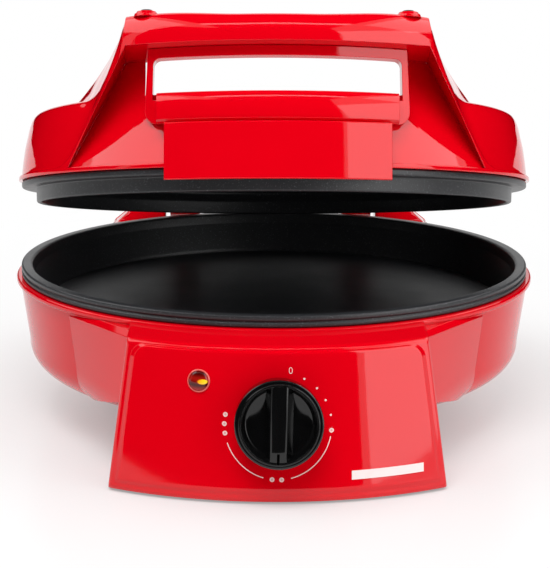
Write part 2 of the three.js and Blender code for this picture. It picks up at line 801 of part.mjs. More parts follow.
function knob() {
  const low = knobGap;
  const top = low + knobHeight;
  const floor = top - knobDishDepth;
  const cup = turned([
    [0, low],
    [knobR, low],
    [knobR, top - knobRound],
    [(knobR + knobRimR * 2) / 3, top - knobRound / 5],
    [knobRimR, top],
    [knobRimR - knobRimWidth, top],
    [knobRimR - knobRimWidth - knobDishDraft, floor],
    [0, floor],
  ], knobSteps);
  const half = gripBaseWidth / 2;
  const topHalf = gripTopWidth / 2;
  const lug = frontPrism(outline([[-half, low], [half, low], [half, floor], [topHalf, top],
    [-topHalf, top], [-half, floor]]), -knobR, knobR);
  const within = turned([[0, low], [knobRimR, low], [knobRimR, top], [0, top]], knobSteps);
  const pointer = block([-pointerWidth / 2, -knobR, top - pointerDepth],
    [pointerWidth / 2, pointerLength - knobRimR, top + overrun]);
  const bore = post(shaftR + shaftClearance, low - overrun, shaftReach + seatGap, 0, 0, pinSteps);
  const key = block([-shaftR - overrun, shaftFlat + shaftClearance, low + seatGap],
    [shaftR + overrun, shaftR + overrun, shaftReach + overrun]);
  return cut(join(cup, common(lug, within)), pointer, cut(bore, key));
}

// Rear housing
// Front view of the two towers and the bridge between them, moved inwards by inset
function rearView(inset, lowZ, topZ) {
  const bridge = rearBridgeZ - inset;
  const inner = towerInnerX + inset;
  const shoulderTop = Math.min(topZ, towerShoulderZ + towerShoulderRise);
  const half = [
    [rearHalfLow - inset, lowZ],
    [rearHalfHigh - inset, Math.min(topZ, towerShoulderZ)],
    [towerShoulderX - inset, shoulderTop],
    [towerTopX - inset, topZ],
    [inner, topZ],
    [inner, bridge],
  ].filter((point, i, all) => i === 0 || point[1] !== all[i - 1][1] || point[0] !== all[i - 1][0]);
  const mirrored = half.map(([x, z]) => [-x, z]).reverse();
  return outline([...half, ...mirrored]);
}

function rearHousing() {
  const topZ = panRimTopZ + towerTopR;
  const arc = [];
  for (let i = 0; i <= curveSteps; i += 1) {
    const angle = (i / curveSteps) * Math.PI;
    arc.push([hingeY + towerTopR * Math.cos(angle), panRimTopZ + towerTopR * Math.sin(angle)]);
  }
  const profile = outline([
    [rearFrontY, boxBottomZ],
    [rearBackY, boxBottomZ],
    [rearBackY, rearBridgeZ],
    [towerBackY, rearBridgeZ + towerSolid],
    ...arc,
    [hingeY - towerTopR - towerFrontRise, flangeTopZ],
    [rearFrontY, flangeTopZ],
  ]);
  const mass = common(
    sidePrism(profile, -rearHalfLow, rearHalfLow),
    frontPrism(rearView(0, boxBottomZ, topZ), rearFrontY - overrun, towerBackY + overrun),
  );
  const hollowTop = panRimTopZ - towerSolid;
  const hollowSide = outline([
    [rearFrontY + bowlWall, boxBottomZ - overrun],
    [rearBackY - bowlWall, boxBottomZ - overrun],
    [rearBackY - bowlWall, hollowTop],
    [rearFrontY + bowlWall, hollowTop],
  ]);
  const hollow = common(
    sidePrism(hollowSide, -rearHalfLow, rearHalfLow),
    frontPrism(rearView(bowlWall, boxBottomZ - overrun, hollowTop), rearFrontY, towerBackY),
  );
  const pinHoles = sides.map(([, side]) => {
    const [near, far] = [towerInnerX - overrun, towerTopX - pinEndWall].map((x) => side * x).sort((a, b) => a - b);
    return rodX(pinR + pinClearance, near, far, hingeY, panRimTopZ, pinSteps);
  });
  const cordHole = rodY(bushingR + seatGap, rearBackY - bowlWall - overrun, rearBackY + overrun, 0, cordZ);
  return cut(mass, hollow, bowlEnvelope(seatGap), cordHole, ...pinHoles);
}

function rearCover() {
  const inset = bowlWall + seatGap;
  const half = rearHalfLow - inset - seatGap;
  return block([-half, rearFrontY + inset, coverLowZ], [half, rearBackY - inset, coverLowZ + coverSheet]);
}

function hingePin(side) {
  const far = towerTopX - pinEndWall - seatGap;
  const near = armInnerX + pinEndWall;
  const [left, right] = [side * near, side * far].sort((a, b) => a - b);
  return rodX(pinR, left, right, hingeY, panRimTopZ, pinSteps);
}

// Cord entry: a bushing through the back wall, a clamp and a terminal block on the cover
function cordBushing() {
  const wallBack0 = rearBackY - bowlWall;
  const body = join(
    rodY(bushingR, wallBack0 - bushingFlange, rearBackY + bushingFlange / 2, 0, cordZ),
    rodY(bushingFlangeR, rearBackY + seatGap, rearBackY + seatGap + bushingFlange, 0, cordZ),
  );
  return cut(body, rodY(cordHoleR, wallBack0 - overrun * 2, rearBackY + overrun * 2, 0, cordZ));
}

const coverTopZ = coverLowZ + coverSheet;

function cordClamp() {
  const back = rearBackY - bowlWall - bushingFlange - clampDepth;
  const low = coverTopZ + seatGap;
  const high = cordZ - cordHoleR;
  return join(
    block([-clampWidth / 2, back - clampDepth, low], [clampWidth / 2, back, low + clampSheet]),
    block([-clampWidth / 4, back - clampDepth, low], [clampWidth / 4, back, high]),
  );
}

function terminalBlock() {
  const low = coverTopZ + seatGap;
  const back = rearBackY - bowlWall - terminalDepth;
  return block([terminalX - terminalWidth / 2, back - terminalDepth, low],
    [terminalX + terminalWidth / 2, back, low + terminalHeight]);
}

function thermalFuse() {
  const z = lowerBackZ - shieldDepth - seatGap - fuseR;
  return rodX(fuseR, -fuseLength / 2, fuseLength / 2, fuseY, z);
}

// Lid
// Shares of the lid's radius: place along Y, foot outside, ridge outside, ridge inside, foot inside;
// and the share of the handle's height that the ridge keeps there
const legShares = [
  [-1.000, 0.620, 0.524, 0.466, 0.466, 1.000],
  [-0.834, 0.622, 0.525, 0.466, 0.466, 1.000],
  [-0.780, 0.697, 0.529, 0.466, 0.466, 1.000],
  [-0.744, 0.721, 0.530, 0.466, 0.466, 1.000],
  [-0.699, 0.743, 0.532, 0.466, 0.466, 1.000],
  [-0.643, 0.762, 0.535, 0.470, 0.470, 1.000],
  [-0.595, 0.780, 0.546, 0.474, 0.472, 0.982],
  [-0.536, 0.798, 0.568, 0.484, 0.476, 0.942],
  [-0.476, 0.815, 0.593, 0.496, 0.482, 0.892],
  [-0.387, 0.833, 0.637, 0.524, 0.496, 0.802],
  [-0.298, 0.857, 0.684, 0.560, 0.516, 0.718],
  [-0.208, 0.881, 0.732, 0.604, 0.545, 0.644],
  [-0.090, 0.904, 0.780, 0.662, 0.600, 0.586],
  [0.060, 0.929, 0.821, 0.730, 0.680, 0.532],
];

// One leg of the handle: it falls back from the end of the handle to the shoulder of the lid
function handleLeg(side, inset) {
  const rings = legShares.map(([along, footOut, ridgeOut, ridgeIn, footIn, rise], i) => {
    const y = along * lidRimR + (i === legShares.length - 1 ? -inset : 0);
    const low = finLowZ;
    const high = handleTopZ * rise - inset;
    return [
      new THREE.Vector3(side * (footIn * lidRimR + inset), y, low),
      new THREE.Vector3(side * (footOut * lidRimR - inset), y, low),
      new THREE.Vector3(side * (ridgeOut * lidRimR - inset), y, high),
      new THREE.Vector3(side * (ridgeIn * lidRimR + inset), y, high),
    ];
  });
  return loft(rings);
}

// Rounded front of the handle, used for the bar and to trim the legs
function handleFront(inset) {
  const [front, top] = [handleFrontR - inset, handleTopZ - inset];
  const points = [];
  const steps = curveSteps / 2;
  for (let i = 0; i <= steps; i += 1) {
    const angle = (i / steps) * (Math.PI / 2);
    points.push([front - handleRound * (1 - Math.cos(angle)), top - handleRound * (1 - Math.sin(angle))]);
  }
  return points;
}

function handleBar(inset) {
  const back = handleBackR + inset;
  const top = handleTopZ - inset;
  const lowFront = handleLowZ + inset;
  const lowBack = handleBackLowZ + inset;
  const soft = handleRound / 2;
  const ring = turned([
    [handleFrontR - inset, lowFront],
    ...handleFront(inset),
    [back + soft, top],
    [back, top - soft],
    [back, lowBack],
  ]);
  const half = (z) => finTopX - inset - (z - handleLowZ) * (finTopX - legShares[1][2] * lidRimR)
    / (handleTopZ - handleLowZ);
  const view = outline([[-half(lowBack), lowBack], [half(lowBack), lowBack], [half(top), top], [-half(top), top]]);
  return common(ring, frontPrism(view, -lidRimR, -handleBackR / 2));
}

// Radius of the recessed wall between the fins at a height
function recessR(z) {
  if (z <= lidDeckZ) return recessLowR + ((recessHighR - recessLowR) * (z - finLowZ)) / (lidDeckZ - finLowZ);
  return recessHighR + ((recessTopR - recessHighR) * (z - lidDeckZ)) / (handleLowZ - lidDeckZ);
}

// What is taken out between the fins, from the rim up to the underside of the handle
function recess() {
  const slope = (handleLowZ - handleBackLowZ) / handleDepth;
  const backTop = handleLowZ - slope * (handleFrontR - recessTopR);
  const far = handleFrontR + overrun;
  const ring = turned([
    [recessR(finLowZ), finLowZ],
    [far, finLowZ],
    [far, handleLowZ + slope * overrun],
    [recessTopR, backTop],
    [recessR(lidDeckZ), lidDeckZ],
  ]);
  const [lowHalf, highHalf] = [finFootX - finWall, finTopX - finWall];
  const view = outline([[-lowHalf, finLowZ], [lowHalf, finLowZ], [highHalf, handleLowZ], [-highHalf, handleLowZ]]);
  return common(ring, frontPrism(view, -far - overrun, 0));
}

// Shares of the deck height and of the rim radius along the wall of the lid
const lidWallShares = [[0.989, 0.18], [0.987, 0.24], [0.976, 0.52], [0.958, 0.79], [0.941, 0.925],
  [0.915, 0.975], [0.875, 1]];

function lidHousing() {
  const deck = turned([
    [0, lidRimLow],
    [lidRimR, lidRimLow],
    [lidRimR, finLowZ],
    ...lidWallShares.map(([r, z]) => [r * lidRimR, z * lidDeckZ]),
    [0, lidDeckZ],
  ]);
  const trim = turned([[0, finLowZ], [handleFrontR, finLowZ], ...handleFront(0), [0, handleTopZ]]);
  const legs = sides.map(([, side]) => common(handleLeg(side, 0), trim));
  const solidLid = cut(join(deck, ...legs, handleBar(0)), recess());
  const innerTop = lidDeckZ - lidWall;
  const core = turned([
    [0, lidRimLow - overrun],
    [recessLowR - lidWall, lidRimLow - overrun],
    [recessLowR - lidWall, finLowZ],
    [recessR(innerTop) - lidWall, innerTop],
    [0, innerTop],
  ]);
  const behindRecess = turned([
    [0, finLowZ],
    [recessR(finLowZ) - lidWall, finLowZ],
    [recessR(lidDeckZ) - lidWall, lidDeckZ],
    [recessTopR - lidWall, handleLowZ],
    [recessTopR - lidWall, handleTopZ],
    [0, handleTopZ],
  ]);
  const legHollows = sides.map(([, side]) => common(handleLeg(side, lidWall), behindRecess));
  const blockY = armTongueY();
  const armBlocks = sides.map(([, side]) => {
    const [left, right] = [side * armInnerX, side * armOuterX].sort((a, b) => a - b);
    return block([left, blockY, armTopZ], [right, lidBackWallY(), lidDeckZ - lidWall / 2]);
  });
  const shoulderZ = upperBackZ + shieldDepth + seatGap;
  const neckZ = upperBackZ + plateBossHeight + seatGap;
  const posts = screwAngles.flatMap((angle) => {
    const [x, y] = around(plateScrewR, angle);
    return [post(postR, shoulderZ, lidDeckZ - lidWall / 2, x, y),
      post(postNeckR, neckZ, lidDeckZ - lidWall / 2, x, y)];
  });
  const bores = screwAngles.flatMap((angle) => {
    const [x, y] = around(plateScrewR, angle);
    return [post(screwShankR + seatGap, neckZ - overrun, lidDeckZ, x, y),
      post(screwHeadR + seatGap, neckZ + postFloor, lidDeckZ + overrun, x, y),
      post(plugR + seatGap, lidDeckZ - plugThickness - seatGap, lidDeckZ + overrun, x, y)];
  });
  const bosses = sides.map(([, side]) => post(footBossR, handleTopZ - lidWall / 2, handleTopZ + footBossHeight,
    side * footX, footY));
  const slots = sides.map(([, side]) => {
    const [left, right] = [side * (armInnerX - armSlotGap), side * (armOuterX + armSlotGap)].sort((a, b) => a - b);
    return block([left, blockY - overrun, armRise - armSlotGap], [right, lidRimR + overrun, armTopZ + armSlotGap]);
  });
  const screwHoles = sides.map(([, side]) => armScrewRod(side, screwShankR + seatGap, armTopZ - overrun,
    armTopZ + screwThreadLength + seatGap));
  const shell = join(cut(solidLid, core, ...legHollows, handleBarHollow()), ...posts,
    ...armBlocks.map((body) => common(body, deck)));
  return cut(join(shell, ...bosses), ...bores, ...slots, ...screwHoles);
}

// The handle is moulded hollow, open into both legs
function handleBarHollow() {
  return handleBar(lidWall);
}

// Upper plate: a flange against the lid, a lip that drops into the pan, a raised roof
function upperPlate() {
  const flangeLow = seatGap;
  const flangeTop = flangeLow + upperFlangeThickness;
  const lipInner = upperLipR - upperLipWall;
  const body = turned([
    [0, upperRoofRise],
    [upperRoofR, upperRoofRise],
    [lipInner - panDraft, flangeLow],
    [lipInner, -upperLipDrop],
    [upperLipR, -upperLipDrop],
    [upperLipR + seatGap, flangeLow],
    [upperFlangeR, flangeLow],
    [upperFlangeR, flangeTop],
    [upperLipR, flangeTop],
    [upperRoofR + panWall, upperBackZ],
    [0, upperBackZ],
  ]);
  return cut(join(body, ...plateBosses(upperBackZ, 1)), ...plateBossHoles(upperBackZ, 1));
}

// Frame round the hand opening: a band below it and a post at each side
function handleFrame() {
  const bandBack = (z) => recessR(z) + seatGap;
  const middleZ = (frameLowZ + frameHighZ) / 2;
  const nose = frameFrontR - bandBack(frameHighZ);
  const band = turned([
    [bandBack(frameHighZ), frameHighZ],
    [bandBack(frameHighZ) + nose * 0.28, frameHighZ],
    [bandBack(frameHighZ) + nose * 0.62, (middleZ + frameHighZ) / 2],
    [frameFrontR - seatGap * 3, middleZ - seatGap * 4],
    [frameFrontR, (middleZ + frameLowZ) / 2],
    [frameFrontR - seatGap * 4, frameLowZ + seatGap * 2],
    [frameFrontR - seatGap * 10, frameLowZ],
    [bandBack(frameLowZ), frameLowZ],
  ]);
  const slope = (handleLowZ - handleBackLowZ) / handleDepth;
  const postTop = (radius) => handleLowZ - slope * (handleFrontR - radius) - seatGap;
  const backR = bandBack(frameHighZ);
  const column = turned([
    [bandBack(frameHighZ - frameBar), frameHighZ - frameBar],
    [framePostR, frameHighZ - frameBar],
    [framePostR, postTop(framePostR)],
    [backR, postTop(backR)],
    [backR, frameHighZ],
  ]);
  const view = outline([
    [-frameHalf, frameLowZ], [frameHalf, frameLowZ], [frameHalf, handleTopZ], [-frameHalf, handleTopZ],
  ], frameCornerR);
  const gap = block([-frameHalf + frameBar, -frameFrontR, frameHighZ - frameBar - overrun],
    [frameHalf - frameBar, 0, handleTopZ]);
  return common(join(band, cut(column, gap)), frontPrism(view, -frameFrontR - overrun, 0));
}

// Tongue: the plate that hangs over the front rim, with its sides turned back to the lid
function frontTongue() {
  const top = frameLowZ - seatGap;
  const shell = turned([
    [tongueClearR, tongueLowZ],
    [tongueFaceR, tongueLowZ],
    [tongueFaceR, top],
    [recessR(top) + seatGap, top],
    [recessR(finLowZ + seatGap) + seatGap, finLowZ + seatGap],
    [tongueClearR, finLowZ + seatGap],
  ]);
  const hollow = turned([
    [recessHighR, finLowZ - overrun],
    [tongueClearR + seatGap, finLowZ - overrun],
    [tongueFaceR - tongueWall, top - tongueWall],
    [recessHighR, top - tongueWall],
  ]);
  const view = (half, low) => outline([[-half, low], [half, low], [half, lidDeckZ], [-half, lidDeckZ]]);
  const inner = common(hollow, frontPrism(view(tongueHalf - tongueWall, finLowZ + seatGap), -tongueFaceR, 0));
  return cut(common(shell, frontPrism(view(tongueHalf, tongueLowZ - overrun), -tongueFaceR - overrun, 0)), inner);
}

// Hinge arms: a tongue fixed inside the lid, a knuckle on the pin
const lidBackWallY = () => Math.sqrt((lidRimR * lidWallShares[2][0]) ** 2 - armOuterX ** 2);
const armTongueY = () => lidBackWallY() - armTongueLength;
const armScrewX = (side) => side * (armInnerX + armWidth / 2);
const armScrewRod = (side, radius, low, high) => (
  post(radius, low, high, armScrewX(side), armTongueY() + armTongueLength / 3));

function hingeArm(side) {
  const start = armTongueY();
  const knuckle = [];
  for (let i = 0; i <= curveSteps * 2; i += 1) {
    const angle = Math.PI * 0.62 - (i / (curveSteps * 2)) * Math.PI * 1.3;
    knuckle.push([hingeY + knuckleR * Math.cos(angle), knuckleR * Math.sin(angle)]);
  }
  const shape = outline([
    [start, armRise],
    [start, armTopZ],
    [lidRimR + overrun, armTopZ],
    ...knuckle,
    [lidRimR + overrun, armRise],
  ]);
  const [left, right] = [side * armInnerX, side * armOuterX].sort((a, b) => a - b);
  return cut(
    sidePrism(shape, left, right),
    rodX(pinR + pinClearance, ...armPinSpan(side), hingeY, 0, pinSteps),
    armScrewRod(side, screwShankR + seatGap, armRise - overrun, armTopZ + overrun),
    armScrewRod(side, screwHeadR + seatGap, armRise - overrun, armRise + armScrewHead),
  );
}

function armPinSpan(side) {
  return [side * (armInnerX + pinEndWall - seatGap), side * (armOuterX + overrun)].sort((a, b) => a - b);
}

const armScrew = (side) => join(
  armScrewRod(side, screwHeadR, armRise, armRise + armScrewHead - seatGap),
  armScrewRod(side, screwShankR, armRise + armScrewHead / 2, armTopZ + screwThreadLength),
);

const lidPlug = (angle) => post(plugR, lidDeckZ - plugThickness, lidDeckZ, ...around(plateScrewR, angle));

const footPad = (side) => post(footPadR, footPadLowZ, footPadLowZ + footPadHeight, side * footX, footY);

// Assembly
const pizzaMaker = new THREE.Group();
const base = new THREE.Group();
const lidPivot = new THREE.Group();
const lid = new THREE.Group();
const knobFrame = new THREE.Group();

lidPivot.position.set(0, hingeY, panRimTopZ);
lidPivot.rotation.x = -lidAngle;
lid.position.set(0, -hingeY, 0);
knobFrame.applyMatrix4(dialMatrix);
knobFrame.rotateZ(knobRestTurn);
lidPivot.add(lid);
pizzaMaker.add(base, lidPivot, knobFrame);

piece(base, 'base_housing', baseHousing(), redGloss);
piece(base, 'lower_plate', lowerPlate(), blackCoat);
piece(base, 'lower_element', heatingElement(lowerBackZ, -1), heaterSheath);
piece(base, 'lower_heat_shield', heatShield(lowerBackZ, -1), steel);
piece(base, 'control_box', controlBox(), redGloss);
piece(base, 'control_fascia', controlFascia(), redGloss);
piece(base, 'box_bottom_cover', boxBottomCover(), darkPlastic);
piece(base, 'lamp_lens', lampLens(), amber);
piece(base, 'lamp_body', lampBody(), darkPlastic);
piece(base, 'thermostat_bracket', thermostatBracket(), steel);
piece(base, 'thermostat_body', thermostatBody(), paleCeramic);
piece(base, 'rear_housing', rearHousing(), redGloss);
piece(base, 'rear_bottom_cover', rearCover(), darkPlastic);
piece(base, 'cord_bushing', cordBushing(), rubber);
piece(base, 'cord_clamp', cordClamp(), darkPlastic);
piece(base, 'terminal_block', terminalBlock(), paleCeramic);
piece(base, 'thermal_fuse', thermalFuse(), steel);

piece(lid, 'lid_housing', lidHousing(), redGloss);
piece(lid, 'handle_frame', handleFrame(), redGloss);
piece(lid, 'front_tongue', frontTongue(), redGloss);
piece(lid, 'upper_plate', upperPlate(), blackCoat);
piece(lid, 'upper_element', heatingElement(upperBackZ, 1), heaterSheath);
piece(lid, 'upper_heat_shield', heatShield(upperBackZ, 1), steel);

clipAngles.forEach((angle, i) => {
  piece(base, `lower_element_clip_${i + 1}`, elementClip(lowerBackZ, -1, angle), steel);
  piece(lid, `upper_element_clip_${i + 1}`, elementClip(upperBackZ, 1, angle), steel);
});
screwAngles.forEach((angle, i) => {
  piece(base, `base_screw_${i + 1}`, plateScrew(lowerBackZ, -1, angle), steel);
  piece(lid, `lid_screw_${i + 1}`, plateScrew(upperBackZ, 1, angle), steel);
  piece(lid, `lid_screw_plug_${i + 1}`, lidPlug(angle), redGloss);
});
sides.forEach(([name, side]) => {
  piece(base, `front_foot_${name}`, rubberFoot(side * frontFootX, frontFootY), rubber);
  piece(base, `rear_foot_${name}`, rubberFoot(side * rearFootX, rearFootY), rubber);
  piece(base, `hinge_pin_${name}`, hingePin(side), steel);
  piece(lid, `hinge_arm_${name}`, hingeArm(side), redGloss);
  piece(lid, `hinge_arm_screw_${name}`, armScrew(side), steel);
  piece(lid, `handle_foot_${name}`, footPad(side), rubber);
});

piece(knobFrame, 'thermostat_shaft', thermostatShaft(), brass);
piece(knobFrame, 'knob', knob(), blackGloss);

// The origin goes under the middle of the whole, at table height
const extent = new THREE.Box3().setFromObject(pizzaMaker, true);
pizzaMaker.position.set(0, -(extent.min.y + extent.max.y) / 2, -extent.min.z);

export default pizzaMaker;
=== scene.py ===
"""Looks of a countertop pizza maker with a hinged, heated lid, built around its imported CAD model.

Every size is in millimetres in the maker's drawing, which is drawn round the centre of the pan;
only the studio's are in metres. A mesh is moved into the row frame, in metres, when it is finished.
The lid is drawn closed, then turned up about its pivot.
"""
import json
import logging
import math
from dataclasses import dataclass
from enum import Enum
from typing import Callable, Sequence

import bmesh
import bpy
from mathutils import Matrix, Vector

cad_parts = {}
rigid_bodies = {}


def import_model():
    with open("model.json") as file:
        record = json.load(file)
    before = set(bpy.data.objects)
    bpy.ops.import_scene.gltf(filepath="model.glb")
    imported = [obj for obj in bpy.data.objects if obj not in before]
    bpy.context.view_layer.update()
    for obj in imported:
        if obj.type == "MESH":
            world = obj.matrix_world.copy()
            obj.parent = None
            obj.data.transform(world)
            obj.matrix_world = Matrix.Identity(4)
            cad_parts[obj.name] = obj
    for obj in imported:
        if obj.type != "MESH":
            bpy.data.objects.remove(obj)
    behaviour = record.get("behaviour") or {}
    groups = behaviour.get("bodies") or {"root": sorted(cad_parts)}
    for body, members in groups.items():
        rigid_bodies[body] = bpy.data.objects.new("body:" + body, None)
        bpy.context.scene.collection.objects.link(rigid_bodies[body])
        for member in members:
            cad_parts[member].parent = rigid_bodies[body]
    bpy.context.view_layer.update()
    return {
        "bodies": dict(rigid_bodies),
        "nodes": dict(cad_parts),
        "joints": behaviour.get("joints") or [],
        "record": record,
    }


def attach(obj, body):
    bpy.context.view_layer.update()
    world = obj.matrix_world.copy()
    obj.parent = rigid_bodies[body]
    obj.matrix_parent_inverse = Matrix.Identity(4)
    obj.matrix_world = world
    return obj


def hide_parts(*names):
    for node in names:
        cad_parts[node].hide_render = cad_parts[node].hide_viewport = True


LOG = logging.getLogger("pizza_maker")
MM = 0.001
WELD = 1e-4  # millimetres within which two corners of a mesh are one
Pair = tuple[float, float]
Triple = tuple[float, float, float]
Flat = Callable[[float, float], Pair]
Spots = Callable[[int, int], Vector]


class Body(Enum):
    """The bodies of the CAD model that a piece can ride on."""

    BASE = "base"
    LID = "lid"
    KNOB = "knob"


class Cut(Enum):
    """How one solid is combined with another."""

    REMOVE = "DIFFERENCE"
    ADD = "UNION"
    KEEP = "INTERSECT"


class View(Enum):
    """The view that a flat outline is drawn in."""

    FRONT = "front"
    SIDE = "side"
    PLAN = "plan"


def linear(code: str) -> tuple[float, float, float, float]:
    """Turns an sRGB hex colour into linear light.

    Args:
        code: Six hex digits.
    Returns:
        Red, green, blue and an alpha of one.
    """
    def channel(value: float) -> float:
        """Returns one channel in linear light."""
        return value / 12.92 if value <= 0.04045 else ((value + 0.055) / 1.055) ** 2.4

    red, green, blue = (channel(int(code[i:i + 2], 16) / 255) for i in (0, 2, 4))
    return red, green, blue, 1.0


def monotone(points: Sequence[Pair]) -> Callable[[float], float]:
    """Makes a smooth curve through points that never overshoots them.

    Args:
        points: Pairs of place and value, in rising order of place.
    Returns:
        The curve as a function of place.
    """
    xs, ys = [p[0] for p in points], [p[1] for p in points]
    steps = [xs[i + 1] - xs[i] for i in range(len(xs) - 1)]
    slopes = [(ys[i + 1] - ys[i]) / steps[i] for i in range(len(steps))]
    tangents = [slopes[0]]
    for before, after in zip(slopes, slopes[1:]):
        tangents.append(0.0 if before * after <= 0 else 2 * before * after / (before + after))
    tangents.append(slopes[-1])

    def curve(x: float) -> float:
        """Follows the curve.

        Args:
            x: The place.
        Returns:
            The curve's value there.
        """
        if x <= xs[0]:
            return ys[0]
        if x >= xs[-1]:
            return ys[-1]
        i = max(k for k in range(len(steps)) if xs[k] <= x)
        t = (x - xs[i]) / steps[i]
        return ((1 + 2 * t) * (1 - t) ** 2 * ys[i] + t * (1 - t) ** 2 * steps[i] * tangents[i]
                + t * t * (3 - 2 * t) * ys[i + 1] + t * t * (t - 1) * steps[i] * tangents[i + 1])

    return curve


def soft_max(first: float, second: float, reach: float) -> float:
    """Returns the larger of two heights, blended where they are within a reach of each other."""
    share = max(reach - abs(first - second), 0.0) / reach
    return max(first, second) + share * share * reach / 4


def soft_min(first: float, second: float, reach: float) -> float:
    """Returns the smaller of two heights, blended where they are within a reach of each other."""
    return -soft_max(-first, -second, reach)


def eased(first: Vector, bend: Vector, last: Vector, steps: int) -> list[Vector]:
    """Draws a soft curve from one point to another, drawn towards a bend.

    Args:
        first: Where it starts.
        bend: The sharp corner that it rounds.
        last: Where it ends.
        steps: Its segments.
    Returns:
        The points of the curve with both its ends.
    """
    shares = [k / steps for k in range(steps + 1)]
    return [first.lerp(bend, t).lerp(bend.lerp(last, t), t) for t in shares]


def quarter(out: float, top: float, across: float, down: float, steps: int) -> list[Pair]:
    """Draws a quarter of an ellipse, from its outer end up to its crest.

    Args:
        out: Place of its outer end.
        top: Height of its crest.
        across: Its width; below zero, it runs the other way.
        down: Its height.
        steps: Its segments.
    Returns:
        The points of the arc with both its ends.
    """
    angles = [k / steps * math.pi / 2 for k in range(steps + 1)]
    return [(out - across * (1 - math.cos(a)), top - down * (1 - math.sin(a))) for a in angles]


def rounded(corners: Sequence[Pair], radii: Sequence[float], steps: int = 6) -> list[Pair]:
    """Rounds the corners of a closed outline with true arcs.

    Args:
        corners: The corner points in order.
        radii: One radius for each corner; zero keeps it sharp.
        steps: Segments of each arc.
    Returns:
        The points of the rounded outline.
    """
    result: list[Pair] = []
    count = len(corners)
    for i, corner in enumerate(corners):
        here = Vector(corner)
        before = Vector(corners[i - 1]) - here
        after = Vector(corners[(i + 1) % count]) - here
        if radii[i] <= 0 or before.length < 1e-6 or after.length < 1e-6:
            result.append((here.x, here.y))
            continue
        half = before.angle(after) / 2
        reach = min(radii[i] / math.tan(half), before.length * 0.49, after.length * 0.49)
        radius = reach * math.tan(half)
        inward = (before.normalized() + after.normalized()).normalized()
        middle = here + inward * (radius / math.sin(half))
        start = here + before.normalized() * reach - middle
        end = here + after.normalized() * reach - middle
        sweep = start.angle_signed(end)
        for k in range(steps + 1):
            spoke = start.copy()
            spoke.rotate(Matrix.Rotation(-sweep * k / steps, 2))
            result.append((middle.x + spoke.x, middle.y + spoke.y))
    return result


def linked(name: str, data: bpy.types.ID) -> bpy.types.Object:
    """Puts a mesh, a camera or a light into the scene.

    Args:
        name: The object's name.
        data: What it holds.
    Returns:
        The object.
    """
    made = bpy.data.objects.new(name, data)
    bpy.context.scene.collection.objects.link(made)
    return made


@dataclass(frozen=True)
class Places:
    """Where the sub-assemblies stand, in the maker's drawing."""

    centre_y: float
    rim_z: float = 99.8
    hinge_y: float = 195.7
    cord_z: float = 32.0
    lid_angle: float = math.radians(12.84)

    def base(self) -> Matrix:
        """Returns the move from the drawing to the row frame."""
        return Matrix.Scale(MM, 4) @ Matrix.Translation((0, self.centre_y, 0))

    def lid(self) -> Matrix:
        """Makes the move from the lid's own drawing to the row frame, with the lid a little open.

        Returns:
            The move.
        """
        pivot = Matrix.Translation((0, self.hinge_y, self.rim_z))
        turn = Matrix.Rotation(-self.lid_angle, 4, "X")
        return self.base() @ pivot @ turn @ Matrix.Translation((0, -self.hinge_y, 0))

    def cord(self) -> Matrix:
        """Returns the move from an upright drawing to the cord's entry, its axis to the back."""
        return Matrix.Translation((0, 0, self.cord_z)) @ Matrix.Rotation(-math.pi / 2, 4, "X")


